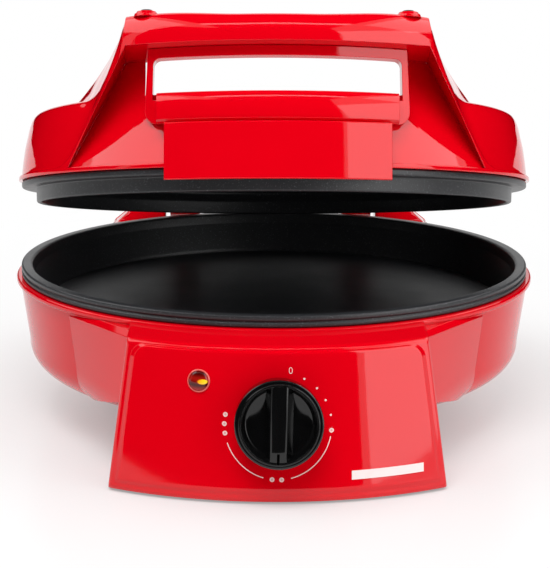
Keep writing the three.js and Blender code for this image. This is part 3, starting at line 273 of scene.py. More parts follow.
class Solid:
    """A closed mesh in millimetres that bmesh operators shape."""

    def __init__(self, mesh: bmesh.types.BMesh) -> None:
        """Keeps the mesh.

        Args:
            mesh: The bmesh to shape.
        """
        self.mesh = mesh

    @classmethod
    def turned(cls, profile: Sequence[Pair], steps: int = 192,
               sweep: Pair = (0.0, 360.0)) -> "Solid":
        """Turns a profile of radius and height about the upright axis.

        Args:
            profile: The points; both ends on the axis, or a closed outline clear of it.
            steps: Segments of the whole turn.
            sweep: First and last azimuth in degrees, from the right towards the back.
        Returns:
            The solid.
        """
        mesh = bmesh.new()
        first, last = (math.radians(angle) for angle in sweep)
        full = sweep[1] - sweep[0] >= 360
        verts = [mesh.verts.new((r * math.cos(first), r * math.sin(first), z)) for r, z in profile]
        edges = [mesh.edges.new(pair) for pair in zip(verts, verts[1:])]
        if not (profile[0][0] == 0 and profile[-1][0] == 0):
            edges.append(mesh.edges.new((verts[-1], verts[0])))
        bmesh.ops.spin(mesh, geom=verts + edges, cent=(0, 0, 0), axis=(0, 0, 1),
                       angle=last - first, steps=steps, use_merge=full, use_duplicate=False)
        solid = cls(mesh)
        return solid.closed() if full else solid.capped()

    @classmethod
    def prism(cls, outline: Sequence[Pair], view: View, low: float, high: float) -> "Solid":
        """Draws a flat outline and pulls it straight.

        Args:
            outline: The corner points.
            view: The view the outline is drawn in.
            low: Where the prism starts along the view's direction.
            high: Where it ends.
        Returns:
            The solid.
        """
        spots = {
            View.FRONT: lambda a, b: (a, low, b),
            View.SIDE: lambda a, b: (low, a, b),
            View.PLAN: lambda a, b: (a, b, low),
        }[view]
        pull = {View.FRONT: (0, 1, 0), View.SIDE: (1, 0, 0), View.PLAN: (0, 0, 1)}[view]
        mesh = bmesh.new()
        face = mesh.faces.new([mesh.verts.new(spots(a, b)) for a, b in outline])
        grown = bmesh.ops.extrude_face_region(mesh, geom=[face])
        moved = [v for v in grown["geom"] if isinstance(v, bmesh.types.BMVert)]
        bmesh.ops.translate(mesh, vec=Vector(pull) * (high - low), verts=moved)
        return cls(mesh).closed()

    @classmethod
    def box(cls, low: Triple, high: Triple) -> "Solid":
        """Makes a block between two corners, to cut with.

        Args:
            low: Its left, front and lower corner.
            high: Its right, rear and upper corner.
        Returns:
            The solid.
        """
        mesh = bmesh.new()
        size = Vector(high) - Vector(low)
        middle = Matrix.Translation((Vector(high) + Vector(low)) / 2)
        bmesh.ops.create_cube(mesh, size=1, matrix=middle @ Matrix.Diagonal((*size, 1)))
        return cls(mesh)

    @classmethod
    def grid(cls, columns: int, rows: int, place: Spots) -> "Solid":
        """Lays a fine grid over a surface.

        Args:
            columns: Cells across.
            rows: Cells along.
            place: Gives the place of a grid point from its column and row.
        Returns:
            The sheet.
        """
        mesh = bmesh.new()
        bmesh.ops.create_grid(mesh, x_segments=columns, y_segments=rows, size=1)
        for vert in mesh.verts:
            column = round((vert.co.x + 1) / 2 * columns)
            row = round((vert.co.y + 1) / 2 * rows)
            vert.co = place(column, row)
        return cls(mesh)

    @classmethod
    def rings(cls, sections: Sequence[Sequence[Vector]]) -> "Solid":
        """Skins a row of matching closed sections and closes both ends.

        Args:
            sections: The closed sections, each with the same number of points.
        Returns:
            The solid.
        """
        count = len(sections[0])
        skin = cls.grid(count, len(sections) - 1, lambda i, k: sections[k][i % count])
        return skin.capped()

    def closed(self) -> "Solid":
        """Welds the mesh and turns its faces outwards.

        Returns:
            The solid itself.
        """
        bmesh.ops.remove_doubles(self.mesh, verts=self.mesh.verts, dist=WELD)
        bmesh.ops.dissolve_degenerate(self.mesh, edges=self.mesh.edges, dist=WELD / 10)
        bmesh.ops.recalc_face_normals(self.mesh, faces=self.mesh.faces)
        return self

    def capped(self) -> "Solid":
        """Welds the mesh, closes its open ends and turns its faces outwards.

        Returns:
            The solid itself.
        """
        bmesh.ops.remove_doubles(self.mesh, verts=self.mesh.verts, dist=WELD)
        ends = [e for e in self.mesh.edges if e.is_boundary]
        bmesh.ops.holes_fill(self.mesh, edges=ends, sides=0)
        return self.closed()

    def moved(self, matrix: Matrix) -> "Solid":
        """Moves, turns or scales the whole mesh."""
        bmesh.ops.transform(self.mesh, matrix=matrix, verts=self.mesh.verts)
        return self

    def softened(self, width: float, angle: float = 30.0, segments: int = 3) -> "Solid":
        """Rounds every edge that is sharper than an angle.

        Args:
            width: Width of the rounding.
            angle: Smallest angle between two faces, in degrees.
            segments: Facets of the rounding.
        Returns:
            The solid itself.
        """
        limit = math.radians(angle)
        sharp = [e for e in self.mesh.edges if e.is_manifold and e.calc_face_angle() > limit]
        bmesh.ops.bevel(self.mesh, geom=sharp, offset=width, offset_type="OFFSET", affect="EDGES",
                        segments=segments, profile=0.5, material=-1, clamp_overlap=False)
        return self.closed()

    def _object(self, name: str) -> bpy.types.Object:
        """Turns the mesh into an object in the scene.

        Args:
            name: The object's name.
        Returns:
            The object.
        """
        data = bpy.data.meshes.new(name)
        self.mesh.to_mesh(data)
        self.mesh.free()
        return linked(name, data)

    def cut(self, how: Cut, *tools: "Solid") -> "Solid":
        """Combines this solid with others, one after another.

        Args:
            how: Whether the tools are removed, added or kept.
            tools: The other solids; they are used up.
        Returns:
            The combined solid.
        """
        target = self._object("blank")
        used = [tool._object("tool") for tool in tools]
        for number, tool in enumerate(used):
            step = target.modifiers.new(f"cut_{number}", "BOOLEAN")
            step.operation = how.value
            step.solver = "EXACT"
            step.object = tool
        graph = bpy.context.evaluated_depsgraph_get()
        result = bmesh.new()
        shaped = target.evaluated_get(graph).to_mesh()
        result.from_mesh(shaped)
        for item in [target, *used]:
            data = item.data
            bpy.data.objects.remove(item)
            bpy.data.meshes.remove(data)
        return Solid(result).closed()

    def finish(self, name: str, place: Matrix, sharp: float = 32.0) -> bpy.types.Object:
        """Places the mesh in the row frame and makes it a smooth-shaded object.

        Args:
            name: The piece's name.
            place: The move into the row frame.
            sharp: Edges sharper than this stay crisp, in degrees.
        Returns:
            The object.
        """
        self.moved(place)
        made = self._object(name)
        made.data.shade_smooth()
        made.data.set_sharp_from_angle(angle=math.radians(sharp))
        LOG.info("made %s with %d faces", name, len(made.data.polygons))
        return made


def disc(radius: float, low: float, high: float, x: float, y: float, soft: float = 0.0,
         steps: int = 48) -> Solid:
    """Makes an upright round rod or button with a rounded top.

    Args:
        radius: Its radius.
        low: Height of its lower face.
        high: Height of its upper face.
        x: Place across.
        y: Place along.
        soft: Radius of the rounding round its top.
        steps: Facets round it.
    Returns:
        The solid.
    """
    arc = quarter(radius, high, soft, soft, 6) if soft else [(radius, high)]
    rod = Solid.turned([(0.0, low), (radius, low), *arc, (0.0, high)], steps)
    return rod.moved(Matrix.Translation((x, y, 0)))


# Finishes

def node(tree: bpy.types.NodeTree, kind: str, inputs: dict[object, object] | None = None,
         **settings: object) -> bpy.types.Node:
    """Adds a node with its settings and links.

    Args:
        tree: The material's or world's node tree.
        kind: The node's type without its ShaderNode prefix.
        inputs: Values for its inputs, or sockets to link to them.
        settings: Properties of the node.
    Returns:
        The node.
    """
    made = tree.nodes.new("ShaderNode" + kind)
    for key, value in settings.items():
        setattr(made, key, value)
    for key, value in (inputs or {}).items():
        if isinstance(value, bpy.types.NodeSocket):
            tree.links.new(value, made.inputs[key])
        else:
            made.inputs[key].default_value = value
    return made


def cleared(owner: bpy.types.Material | bpy.types.World) -> bpy.types.NodeTree:
    """Turns the nodes of a material or world on and empties them.

    Args:
        owner: The material or world.
    Returns:
        Its node tree.
    """
    owner.use_nodes = True
    owner.node_tree.nodes.clear()
    return owner.node_tree


def seen_rays(tree: bpy.types.NodeTree) -> bpy.types.NodeSocket:
    """Tells the rays that the eye sees, straight or by gloss or glass, from the others.

    Args:
        tree: The material's or world's node tree.
    Returns:
        A socket that is one for such rays and zero for the others.
    """
    path = node(tree, "LightPath").outputs
    sees = path["Is Camera Ray"]
    for other in ("Is Glossy Ray", "Is Transmission Ray"):
        sees = node(tree, "Math", {0: sees, 1: path[other]}, operation="MAXIMUM").outputs[0]
    return sees


@dataclass(frozen=True)
class Finish:
    """What one real material looks like: two near colours, its gloss and its fine relief.

    In millimetres, grain is the size of the relief and relief its height, mottle the size of the
    slow changes of colour and gloss, edge the radius that catches light on moulded edges, and
    speck_size the size of the specks.
    """

    title: str
    colour: str
    second: str
    roughness: float
    metallic: float = 0.0
    ior: float = 1.5
    grain: float = 1.0
    relief: float = 0.02
    mottle: float = 30.0
    spread: float = 0.03
    edge: float = 0.0
    speck: str = ""
    speck_size: float = 0.5
    speck_from: float = 0.62
    speck_to: float = 0.74

    def material(self) -> bpy.types.Material:
        """Makes the finish a material on its first use.

        Returns:
            The material.
        """
        found = bpy.data.materials.get(self.title)
        if found:
            return found
        made = bpy.data.materials.new(self.title)
        tree = cleared(made)
        place = node(tree, "TexCoord").outputs["Object"]
        slow, fine = (
            node(tree, "TexNoise", {"Vector": place, "Scale": 1 / (size * MM), "Detail": detail})
            for size, detail in ((self.mottle, 2.0), (self.grain, 3.0)))
        colour = node(tree, "MixRGB", {"Fac": slow.outputs["Fac"], "Color1": linear(self.colour),
                                       "Color2": linear(self.second)}).outputs["Color"]
        if self.speck:
            cells = node(tree, "TexNoise", {"Vector": place, "Scale": 1 / (self.speck_size * MM),
                                            "Detail": 1.0})
            dots = node(tree, "ValToRGB", {"Fac": cells.outputs["Fac"]})
            dots.color_ramp.elements[0].position = self.speck_from
            dots.color_ramp.elements[1].position = self.speck_to
            colour = node(tree, "MixRGB", {"Fac": dots.outputs["Color"], "Color1": colour,
                                           "Color2": linear(self.speck)}).outputs["Color"]
        rough = node(tree, "MapRange", {"Value": slow.outputs["Fac"],
                                        "To Min": self.roughness - self.spread,
                                        "To Max": self.roughness + self.spread})
        bump = node(tree, "Bump", {"Height": fine.outputs["Fac"], "Distance": self.relief * MM,
                                   "Strength": 1.0})
        if self.edge:
            corner = node(tree, "Bevel", {"Radius": self.edge * MM}, samples=6)
            tree.links.new(corner.outputs["Normal"], bump.inputs["Normal"])
        shader = node(tree, "BsdfPrincipled", {
            "Base Color": colour, "Roughness": rough.outputs["Result"], "Metallic": self.metallic,
            "IOR": self.ior, "Normal": bump.outputs["Normal"]})
        node(tree, "OutputMaterial", {"Surface": shader.outputs["BSDF"]})
        return made


# ABS, injection moulded against a polished mould: a deep even red with a wet shine and a faint
# orange peel, 5 mm between its crests, that makes the edges of reflections waver
RED_ABS = Finish("gloss_red_moulded_abs", "DC0013", "D40011", 0.045,
                 grain=5.0, relief=0.010, mottle=60, spread=0.01, edge=0.7)
# Cast aluminium under a baked non-stick coating: soft charcoal with pale specks; the grit is
# 0.3 mm, drawn at 0.9 mm so that it shows
COATED_CAST = Finish("nonstick_coated_cast_aluminium", "232426", "2A2B2E", 0.38, grain=0.9,
                     relief=0.06, mottle=25, spread=0.05, edge=0.5, speck="55575B", speck_size=0.9)
# Phenolic, compression moulded and polished: black with sharp grey reflections
BLACK_PHENOLIC = Finish("gloss_black_moulded_phenolic", "080808", "0D0D0E", 0.07,
                        grain=4.0, relief=0.004, spread=0.02, edge=0.35)
# Silicone rubber, moulded: dull black that swallows light
BLACK_RUBBER = Finish("matt_black_moulded_rubber", "141414", "1C1C1C", 0.75,
                      grain=0.5, relief=0.03, edge=0.4)
# Polypropylene, moulded against a spark-eroded mould: dark grey with a fine leathery grain
BLACK_PLASTIC = Finish("grained_black_polypropylene", "1A1A1C", "222224", 0.5,
                       grain=0.7, relief=0.05, edge=0.4)
# Steel, zinc plated: cool grey metal with faint clouds
ZINC_STEEL = Finish("zinc_plated_steel", "B4B8BC", "9EA3A8", 0.3, metallic=1.0,
                    grain=0.6, relief=0.01, mottle=6, spread=0.08)
# Aluminium sheet, rolled: bright metal with slow, faint clouds
BRIGHT_SHEET = Finish("rolled_aluminium_sheet", "C9CCD0", "BABDC2", 0.28, metallic=1.0,
                      grain=1.2, relief=0.01, mottle=12, spread=0.06)
# Steel sheath of the heating element: brown-grey from heat
HEATED_SHEATH = Finish("heat_tinted_steel_sheath", "5A5048", "6E5A48", 0.45, metallic=1.0,
                       grain=0.6, relief=0.02, mottle=8, spread=0.08)
# Brass, turned: warm yellow metal
TURNED_BRASS = Finish("turned_brass", "C8A655", "B8944A", 0.3, metallic=1.0,
                      grain=0.3, relief=0.01, mottle=5, spread=0.06)
# Heat-proof urea resin, moulded: creamy and matt
PALE_RESIN = Finish("matt_cream_moulded_resin", "E4DFD2", "D8D2C4", 0.55,
                    grain=0.8, relief=0.02, mottle=10)
# Dial print, screen printed in warm white: flat, slightly chalky
DIAL_INK = Finish("screen_printed_pale_ink", "F7D6D0", "F2CBC4", 0.45,
                  grain=0.6, relief=0.01, mottle=4)
# Centre of the printed dots, where the ink lies thinner and the red shows through
THIN_INK = Finish("thin_screen_printed_ink", "E9A79F", "E39A92", 0.45,
                  grain=0.6, relief=0.01, mottle=4)
# Aluminium plate under a pale satin lacquer: bare of print, soft reflections
PALE_PLATE = Finish("satin_pale_plate", "F3E4E2", "EBD9D7", 0.35,
                    grain=1.2, relief=0.01, mottle=8, edge=0.2)


@dataclass(frozen=True)
class LampFinish:
    """Amber acrylic over a neon lamp: banded dark red, a paler rim that is a painted reflection,
    and a yellow spot right of the middle that is a painted highlight.
    """

    centre: Vector
    radius: float
    title: str = "amber_acrylic_lens"
    dark: tuple[str, str] = ("3C0302", "8E100A")
    # painted reflection: the paler ring round the edge of the lens
    ring: str = "CF5F57"
    # two yellows of the painted highlight right of the middle
    painted_highlight: tuple[str, str] = ("E88A10", "FFC81E")

    def material(self) -> bpy.types.Material:
        """Makes the lens a material, with its pattern drawn in millimetres about its own centre.

        Returns:
            The material.
        """
        made = bpy.data.materials.new(self.title)
        tree = cleared(made)
        own = node(tree, "Mapping", {"Vector": node(tree, "TexCoord").outputs["Object"],
                                     "Location": tuple(-self.centre / MM), "Scale": (1 / MM,) * 3})
        place = own.outputs["Vector"]
        across = node(tree, "SeparateXYZ", {"Vector": place}).outputs["X"]
        bands = node(tree, "TexWave", {"Vector": place, "Scale": 0.055, "Distortion": 2.2,
                                       "Detail": 1.0, "Phase Offset": 1.2},
                     wave_type="BANDS", bands_direction="Z")
        dark = node(tree, "MixRGB", {"Fac": bands.outputs["Color"], "Color1": linear(self.dark[0]),
                                     "Color2": linear(self.dark[1])})
        whole = node(tree, "Mapping", {"Vector": place, "Scale": (1 / self.radius,) * 3})
        middle = node(tree, "TexGradient", {"Vector": whole.outputs["Vector"]},
                      gradient_type="SPHERICAL")
        inside = node(tree, "MapRange", {"Value": middle.outputs["Fac"], "From Min": 0.05,
                                         "From Max": 0.12})
        # paler edge of the lens: a painted reflection
        dark = node(tree, "MixRGB", {"Fac": inside.outputs["Result"], "Color1": linear(self.ring),
                                     "Color2": dark.outputs["Color"]})
        # yellow spot right of the middle: a painted highlight, an ellipse whose yellow grows paler
        # towards the right
        near = node(tree, "Mapping", {"Vector": place, "Location": (-0.62, 0.0, -0.1),
                                      "Scale": (0.30, 0.0, 0.62)})
        spot = node(tree, "TexGradient", {"Vector": near.outputs["Vector"]},
                    gradient_type="SPHERICAL")
        highlight_mask = node(tree, "ValToRGB", {"Fac": spot.outputs["Color"]})
        highlight_mask.color_ramp.elements[0].position = 0.02
        highlight_mask.color_ramp.elements[1].position = 0.30
        heat = node(tree, "MapRange", {"Value": across, "From Min": -1.0, "From Max": 3.2})
        warm = node(tree, "MixRGB", {"Fac": heat.outputs["Result"], "Color1": linear(self.painted_highlight[0]),
                                     "Color2": linear(self.painted_highlight[1])})
        colour = node(tree, "MixRGB", {"Fac": highlight_mask.outputs["Color"],
                                       "Color1": dark.outputs["Color"],
                                       "Color2": warm.outputs["Color"]}).outputs["Color"]
        # the lens glows faintly in all these colours, the painted highlight and painted reflection
        # included
        shader = node(tree, "BsdfPrincipled", {"Base Color": colour, "Roughness": 0.08, "IOR": 1.49,
                                               "Emission Color": colour, "Emission Strength": 0.25})
        node(tree, "OutputMaterial", {"Surface": shader.outputs["BSDF"]})
        return made


def paint(piece: bpy.types.Object, finish: Finish | LampFinish) -> None:
    """Gives a piece a finish in place of any that it has."""
    piece.data.materials.clear()
    piece.data.materials.append(finish.material())


def settle(piece: bpy.types.Object, body: Body, finish: Finish | LampFinish, slot: str,
           *nodes: str) -> None:
    """Dresses a finished piece and joins it to its body.

    Args:
        piece: The finished object.
        body: What it moves with.
        finish: Its material.
        slot: The record's material slot; not used.
        nodes: CAD nodes that it stands for.
    """
    paint(piece, finish)
    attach(piece, body.value)
    if nodes:
        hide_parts(*nodes)


# Sub-assemblies

@dataclass
class Plates:
    """The two heating plates, each a coated casting."""

    places: Places
    pan_inner: float = 160.0
    pan_outer: float = 167.0
    pan_floor: float = 149.0
    pan_depth: float = 26.0
    rim_height: float = 7.0
    groove_drop: float = 3.8
    groove: float = 1.1
    draft: float = 1.6
    wall: float = 3.0
    thickness: float = 3.5
    flange: float = 166.0
    flange_low: float = 0.3
    flange_high: float = 4.4
    lip: float = 156.4
    lip_drop: float = 8.9
    roof: float = 146.0
    roof_rise: float = 6.0
    crisp: float = 40.0

    def pan_profile(self) -> list[Pair]:
        """Draws the pan, from the axis out over its rim and back beneath.

        Returns:
            The points of radius and height.
        """
        top = self.places.rim_z
        low = top - self.rim_height
        floor = top - self.pan_depth
        groove = top - self.groove_drop
        inner, outer = self.pan_inner + self.wall, self.pan_outer
        foot = self.pan_floor + self.wall / 2
        upper = rounded(
            [(foot, floor), (self.pan_inner - self.draft, low), (self.pan_inner, top), (outer, top),
             (outer, groove + self.groove), (outer - self.groove, groove),
             (outer, groove - self.groove), (outer, low), (inner, low),
             (inner - self.draft, low - self.wall), (self.pan_floor + self.wall * 2, floor),
             (foot, floor - self.thickness)],
            [7, 6, 2.2, 2.2, 0.5, 0.4, 0.5, 1.0, 0.4, 1, 3, 3])
        return [(0.0, floor), *upper, (0.0, floor - self.thickness)]

    def upper_profile(self) -> list[Pair]:
        """Draws the upper plate in the lid's drawing, from the axis out and back over it.

        Returns:
            The points of radius and height.
        """
        edge = self.lip - self.wall
        back = self.roof_rise + self.thickness
        low, high = self.flange_low, self.flange_high
        body = rounded(
            [(self.roof, self.roof_rise), (edge - self.draft, low), (edge, -self.lip_drop),
             (self.lip, -self.lip_drop), (self.lip + 0.3, low), (self.flange, low),
             (self.flange, high), (self.lip, high), (self.roof + self.wall, back)],
            [5, 3, 1.2, 1.2, 0.8, 1.3, 1.0, 0.5, 2])
        return [(0.0, self.roof_rise), *body, (0.0, back)]

    def build(self) -> None:
        """Makes both plates and dresses them."""
        pan = Solid.turned(self.pan_profile()).finish("pan_casting", self.places.base(), self.crisp)
        settle(pan, Body.BASE, COATED_CAST, "coated_plate", "lower_plate")
        upper = Solid.turned(self.upper_profile())
        upper = upper.finish("upper_plate_casting", self.places.lid(), self.crisp)
        settle(upper, Body.LID, COATED_CAST, "coated_plate", "upper_plate")


@dataclass(frozen=True)
class BoxForm:
    """The plain form of the control box, which the bowl's two fairings meet."""

    low: float = 1.2
    front: float = 207.0
    lean: float = math.radians(10.2)
    half: float = 98.0
    side_slope: float = 0.133

    def face_r(self, z: float) -> float:
        """Returns the radius of the box's front face at a height."""
        return self.front - (z - self.low) * math.tan(self.lean)

    def half_at(self, z: float) -> float:
        """Returns the box's half width at a height."""
        return self.half - (z - self.low) * self.side_slope


@dataclass
class BaseShell:
    """The red bowl under the pan, with its flange and the two fairings beside the control box."""

    places: Places
    wall: float = 2.8
    flange: float = 170.3
    flange_low: float = 89.3
    flange_top: float = 92.5
    top_r: float = 167.8
    top_z: float = 87.8
    knee_r: float = 162.9
    knee_z: float = 52.0
    flat_r: float = 77.0
    bottom_z: float = 20.7
    power: float = 2.7
    knee_steps: int = 26
    seam: float = math.radians(41.6)
    seam_step: float = 0.35
    fairing_top: float = 89.4
    brow: float = 3.2
    brow_lean: float = 0.8
    fairing_foot: Pair = (31.4, 48.5)
    step_back: float = 8.0
    root: float = 0.62
    form: BoxForm = BoxForm()
    columns: int = 10
    seat: float = 163.3
    lip_round: float = 1.2

    def curve(self, inset: float) -> list[Pair]:
        """Draws the bowl, from the axis to its top.

        Args:
            inset: How far it is moved inwards.
        Returns:
            The points of radius and height.
        """
        knee, bottom = self.knee_r - inset, self.bottom_z + inset
        points = [(0.0, bottom), (self.flat_r, bottom)]
        for k in range(self.knee_steps - 1, -1, -1):
            angle = k / self.knee_steps * math.pi / 2
            out = math.cos(angle) ** (2 / self.power)
            down = math.sin(angle) ** (2 / self.power)
            points.append((self.flat_r + (knee - self.flat_r) * out,
                           self.knee_z - (self.knee_z - bottom) * down))
        points.append((self.top_r - inset, self.top_z))
        return points

    def fairing(self, side: int, inset: float) -> Solid:
        """Makes one flattened panel from the seam on the bowl out to the side of the control box.

        Args:
            side: Minus one on the left, one on the right.
            inset: How far it is moved inwards.
        Returns:
            The solid.
        """
        low, high = self.fairing_foot
        wall = [point for point in self.curve(inset) if point[1] > low - inset][::-1]
        slope = (wall[0][0] - wall[1][0]) / (wall[0][1] - wall[1][1])
        foot, drawn_in = self.fairing_top - self.brow, self.brow * self.brow_lean
        levels = [(wall[0][0] - drawn_in, self.fairing_top - inset),
                  (wall[0][0] - (wall[0][1] - foot) * slope, foot - inset), *wall[1:]]
        sections = []
        for radius, z in levels:
            shrink = self.knee_r - inset - min(radius, self.knee_r - inset)
            set_back = shrink if sections else drawn_in
            half = self.form.half_at(z)
            corner_x = half - inset - set_back / 2
            face = self.form.face_r(z) - self.step_back - inset - set_back
            corner_y = -math.sqrt(face ** 2 - corner_x ** 2)
            inner_x = half * self.root + inset
            out = radius + self.seam_step
            seam = Vector((side * math.cos(self.seam) * out, -math.sin(self.seam) * out, z))
            reach = min(max((z - low + inset) / (high - low), 0.02), 1.0)
            corner = seam.lerp(Vector((side * corner_x, corner_y, z)), reach)
            across = [seam.lerp(corner, k / self.columns) for k in range(self.columns + 1)]
            sections.append([Vector((side * inner_x, -radius * self.root, z)), *across,
                             Vector((side * inner_x, corner.y, z))])
        return Solid.rings(sections)

    def envelope(self, gap: float) -> list[Solid]:
        """Makes what the bowl and its fairings fill, as tools to cut with.

        Args:
            gap: How far they are grown.
        Returns:
            The solids.
        """
        top = self.places.rim_z
        bowl = Solid.turned([*self.curve(-gap), (self.flange + gap, self.flange_low - gap),
                             (self.flange + gap, top), (0.0, top)], 96)
        return [bowl, self.fairing(-1, -gap), self.fairing(1, -gap)]

    def build(self) -> None:
        """Makes the bowl and dresses it."""
        out, low, top, soft = self.flange, self.flange_low, self.flange_top, self.lip_round
        lip = [(out - soft / 2, low), (out, low + soft / 2), (out, top - soft),
               (out - soft / 3, top - soft / 3), (out - soft, top)]
        outer = Solid.turned([*self.curve(0), *lip, (0.0, top)])
        hollow = Solid.turned([*self.curve(self.wall), (self.seat, low), (self.seat, top + 3),
                               (0.0, top + 3)])
        shell = outer.cut(Cut.ADD, self.fairing(-1, 0), self.fairing(1, 0)).cut(Cut.REMOVE, hollow)
        made = shell.finish("base_bowl_shell", self.places.base(), 26)
        settle(made, Body.BASE, RED_ABS, "red_housing", "base_housing")


@dataclass
class ControlBox:
    """The leaning box under the front of the pan, with its raised panel, lamp, print and plate.

    The nought's numbers are its place across and over the ring, its half width and half height,
    and the share by which each of the two grows through the stroke.
    """

    places: Places
    bowl: BaseShell
    form: BoxForm = BoxForm()
    shoulder: float = 87.6
    top: float = 92.2
    rear_y: float = -130.0
    wall: float = 2.8
    corner: float = 2.0
    border: float = 3.4
    border_low: float = 4.6
    border_top: float = 0.6
    proud: float = 1.2
    foot_round: float = 3.4
    panel_corner: float = 9.0
    panel_foot_corner: float = 2.0
    edge: float = 3.2
    dial_z: float = 47.2
    foot_lean: float = 0.8
    foot_steps: int = 7
    side_steps: int = 8
    corner_steps: int = 6
    columns: int = 230
    rows: int = 120
    bend: float = 2.5
    bend_steps: int = 8
    deck_share: float = 0.16
    deck_steps: int = 6
    gap: float = 0.3
    knob_hole: float = 4.6
    lamp_hole: float = 5.1
    lamp_x: float = -44.8
    lamp_z: float = 68.5
    lamp_r: float = 6.5
    lamp_stem: float = 4.8
    lamp_deep: float = 7.0
    lamp_collar: float = 0.9
    dome_low: float = 1.2
    dome_rise: float = 1.9
    print_x: float = -0.3
    print_drop: float = 2.6
    print_r: float = 30.3
    ink: float = 0.06
    core_ink: float = 0.1
    stroke: float = 0.55
    dot_r: float = 0.62
    large_dot_r: float = 1.35
    small_dots: tuple[float, ...] = (29.0, 46.0, 62.0, 79.0)
    large_dots: tuple[float, ...] = (95.5, 176.2, 186.4, 261.5, 271.5, 281.5)
    arcs: tuple[tuple[str, float, float], ...] = (("right", 102.0, 166.0), ("left", 196.0, 251.0))
    nought: tuple[float, ...] = (6.75, 1.0, 0.85, 1.6, 0.42, 0.22)
    squareness: float = 2.6
    plate_at: Pair = (63.6, 16.2)
    plate_size: Pair = (44.0, 5.1)
    plate_tilt: float = math.radians(0.4)
    plate_proud: float = 0.35

    def raised(self, x: float, z: float) -> float:
        """Finds how far the panel stands out of the face at a place on it.

        Args:
            x: Place across the face.
            z: Height of the place.
        Returns:
            The height of the panel there.
        """
        low, high = self.form.low + self.border_low, self.shoulder - self.border_top
        side = self.form.half_at(z) - self.border
        gap_x, gap_z = side - abs(x), min(z - low, high - z)
        radius = self.panel_corner if z > (low + high) / 2 else self.panel_foot_corner
        if gap_x < radius and gap_z < radius:
            gap = radius - math.hypot(radius - gap_x, radius - gap_z)
        else:
            gap = min(gap_x, gap_z)
        share = min(max(gap / self.edge, 0.0), 1.0)
        return self.proud * math.sin(share * math.pi / 2) ** 1.3 if share > 0 else 0.0

    def section(self, z: float, inset: float, radius: float, panel: bool) -> list[Vector]:
        """Draws one level outline of the box, from the rear left over the front to the rear right.

        Args:
            z: Its height.
            inset: How far it is moved inwards.
            radius: Radius of its front face at that height.
            panel: Whether the raised panel is on it.
        Returns:
            The points, the same number at every height.
        """
        half = self.form.half_at(z) - inset
        corner = Vector((-half, -math.sqrt(radius ** 2 - half ** 2), z))
        rear = Vector((-half, self.rear_y + inset, z))
        first = corner + Vector((0, self.corner * 1.2, 0))
        edge = math.asin(half / radius) - self.corner / radius
        last = Vector((-math.sin(edge) * radius, -math.cos(edge) * radius, z))
        left = [rear.lerp(first, k / self.side_steps) for k in range(self.side_steps)]
        left += eased(first, corner, last, self.corner_steps)
        face = []
        for k in range(1, self.columns):
            angle = -edge + 2 * edge * k / self.columns
            out = radius + (self.raised(math.sin(angle) * radius, z) if panel else 0.0)
            face.append(Vector((math.sin(angle) * out, -math.cos(angle) * out, z)))
        return [*left, *face, *[Vector((-p.x, p.y, p.z)) for p in reversed(left)]]

    def mass(self, inset: float, low: float, panel: bool) -> Solid:
        """Makes the box as one solid, moved inwards by an inset.

        Args:
            inset: How far it is moved inwards.
            low: Height of its underside.
            panel: Whether the raised panel is on it.
        Returns:
            The solid.
        """
        shoulder = self.shoulder - inset
        start, end = low, shoulder - self.bend
        levels: list[Pair] = []
        if panel:
            soft = self.foot_round
            levels = quarter(low, 0.0, -soft, -soft * self.foot_lean, self.foot_steps)[:-1]
            start = low + soft
        rows = self.rows if panel else 4
        levels += [(start + (end - start) * k / rows, 0.0) for k in range(rows + 1)]
        sections = [self.section(z, inset, self.form.face_r(z) - inset - back, panel)
                    for z, back in levels]
        bend = Vector((self.form.face_r(shoulder) - inset, shoulder))
        last = Vector((self.bowl.flange, self.top - inset))
        after = bend.lerp(last, self.deck_share)
        first = Vector((self.form.face_r(end) - inset, end))
        above = eased(first, bend, after, self.bend_steps)[1:]
        above += [after.lerp(last, k / self.deck_steps) for k in range(1, self.deck_steps + 1)]
        sections += [self.section(spot.y, inset, spot.x, False) for spot in above]
        return Solid.rings(sections)

    def spot(self, x: float, up: float, out: float, middle_z: float) -> Vector:
        """Finds a place on the panel from flat measures about a height.

        Args:
            x: Arc length across.
            up: Length up the face from the middle height.
            out: Height over the panel.
            middle_z: The height the measures start from.
        Returns:
            The place in the drawing.
        """
        z = middle_z + up * math.cos(self.form.lean)
        radius = self.form.face_r(z) + self.proud
        angle = x / radius
        radius += out * math.cos(self.form.lean)
        z += out * math.sin(self.form.lean)
        return Vector((math.sin(angle) * radius, -math.cos(angle) * radius, z))

    def panel_matrix(self, x: float, z: float) -> Matrix:
        """Makes the frame of a part that sits square on the panel.

        Args:
            x: Place across the panel.
            z: Height of the place.
        Returns:
            The move from the part's own drawing, with its axis upright, to the panel.
        """
        radius = self.form.face_r(z) + self.proud
        angle = math.asin(x / radius)
        right = Vector((math.cos(angle), math.sin(angle), 0))
        outward = Vector((math.sin(angle), -math.cos(angle), 0))
        normal = outward * math.cos(self.form.lean) + Vector((0, 0, math.sin(self.form.lean)))
        up = normal.cross(right)
        matrix = Matrix((right, up, normal)).transposed().to_4x4()
        return Matrix.Translation(outward * radius + Vector((0, 0, z))) @ matrix

    def inked(self, name: str, columns: int, flat: Flat, finish: Finish, rows: int = 2,
              lift: float | None = None, middle_z: float | None = None) -> None:
        """Lays a thin printed shape on the panel.

        Args:
            name: The piece's name.
            columns: Cells across its outline.
            flat: Gives the flat place of a share across and a share through.
            finish: The ink.
            rows: Cells through its width.
            lift: Height of its face over the panel; the ink's thickness if left out.
            middle_z: The height its measures start from; the dial's if left out.
        """
        lift = self.ink if lift is None else lift
        middle_z = self.dial_z - self.print_drop if middle_z is None else middle_z

        def place(i: int, k: int) -> Vector:
            """Returns a grid point on the panel."""
            x, up = flat(i / columns, k / rows)
            return self.spot(x, up, lift, middle_z)

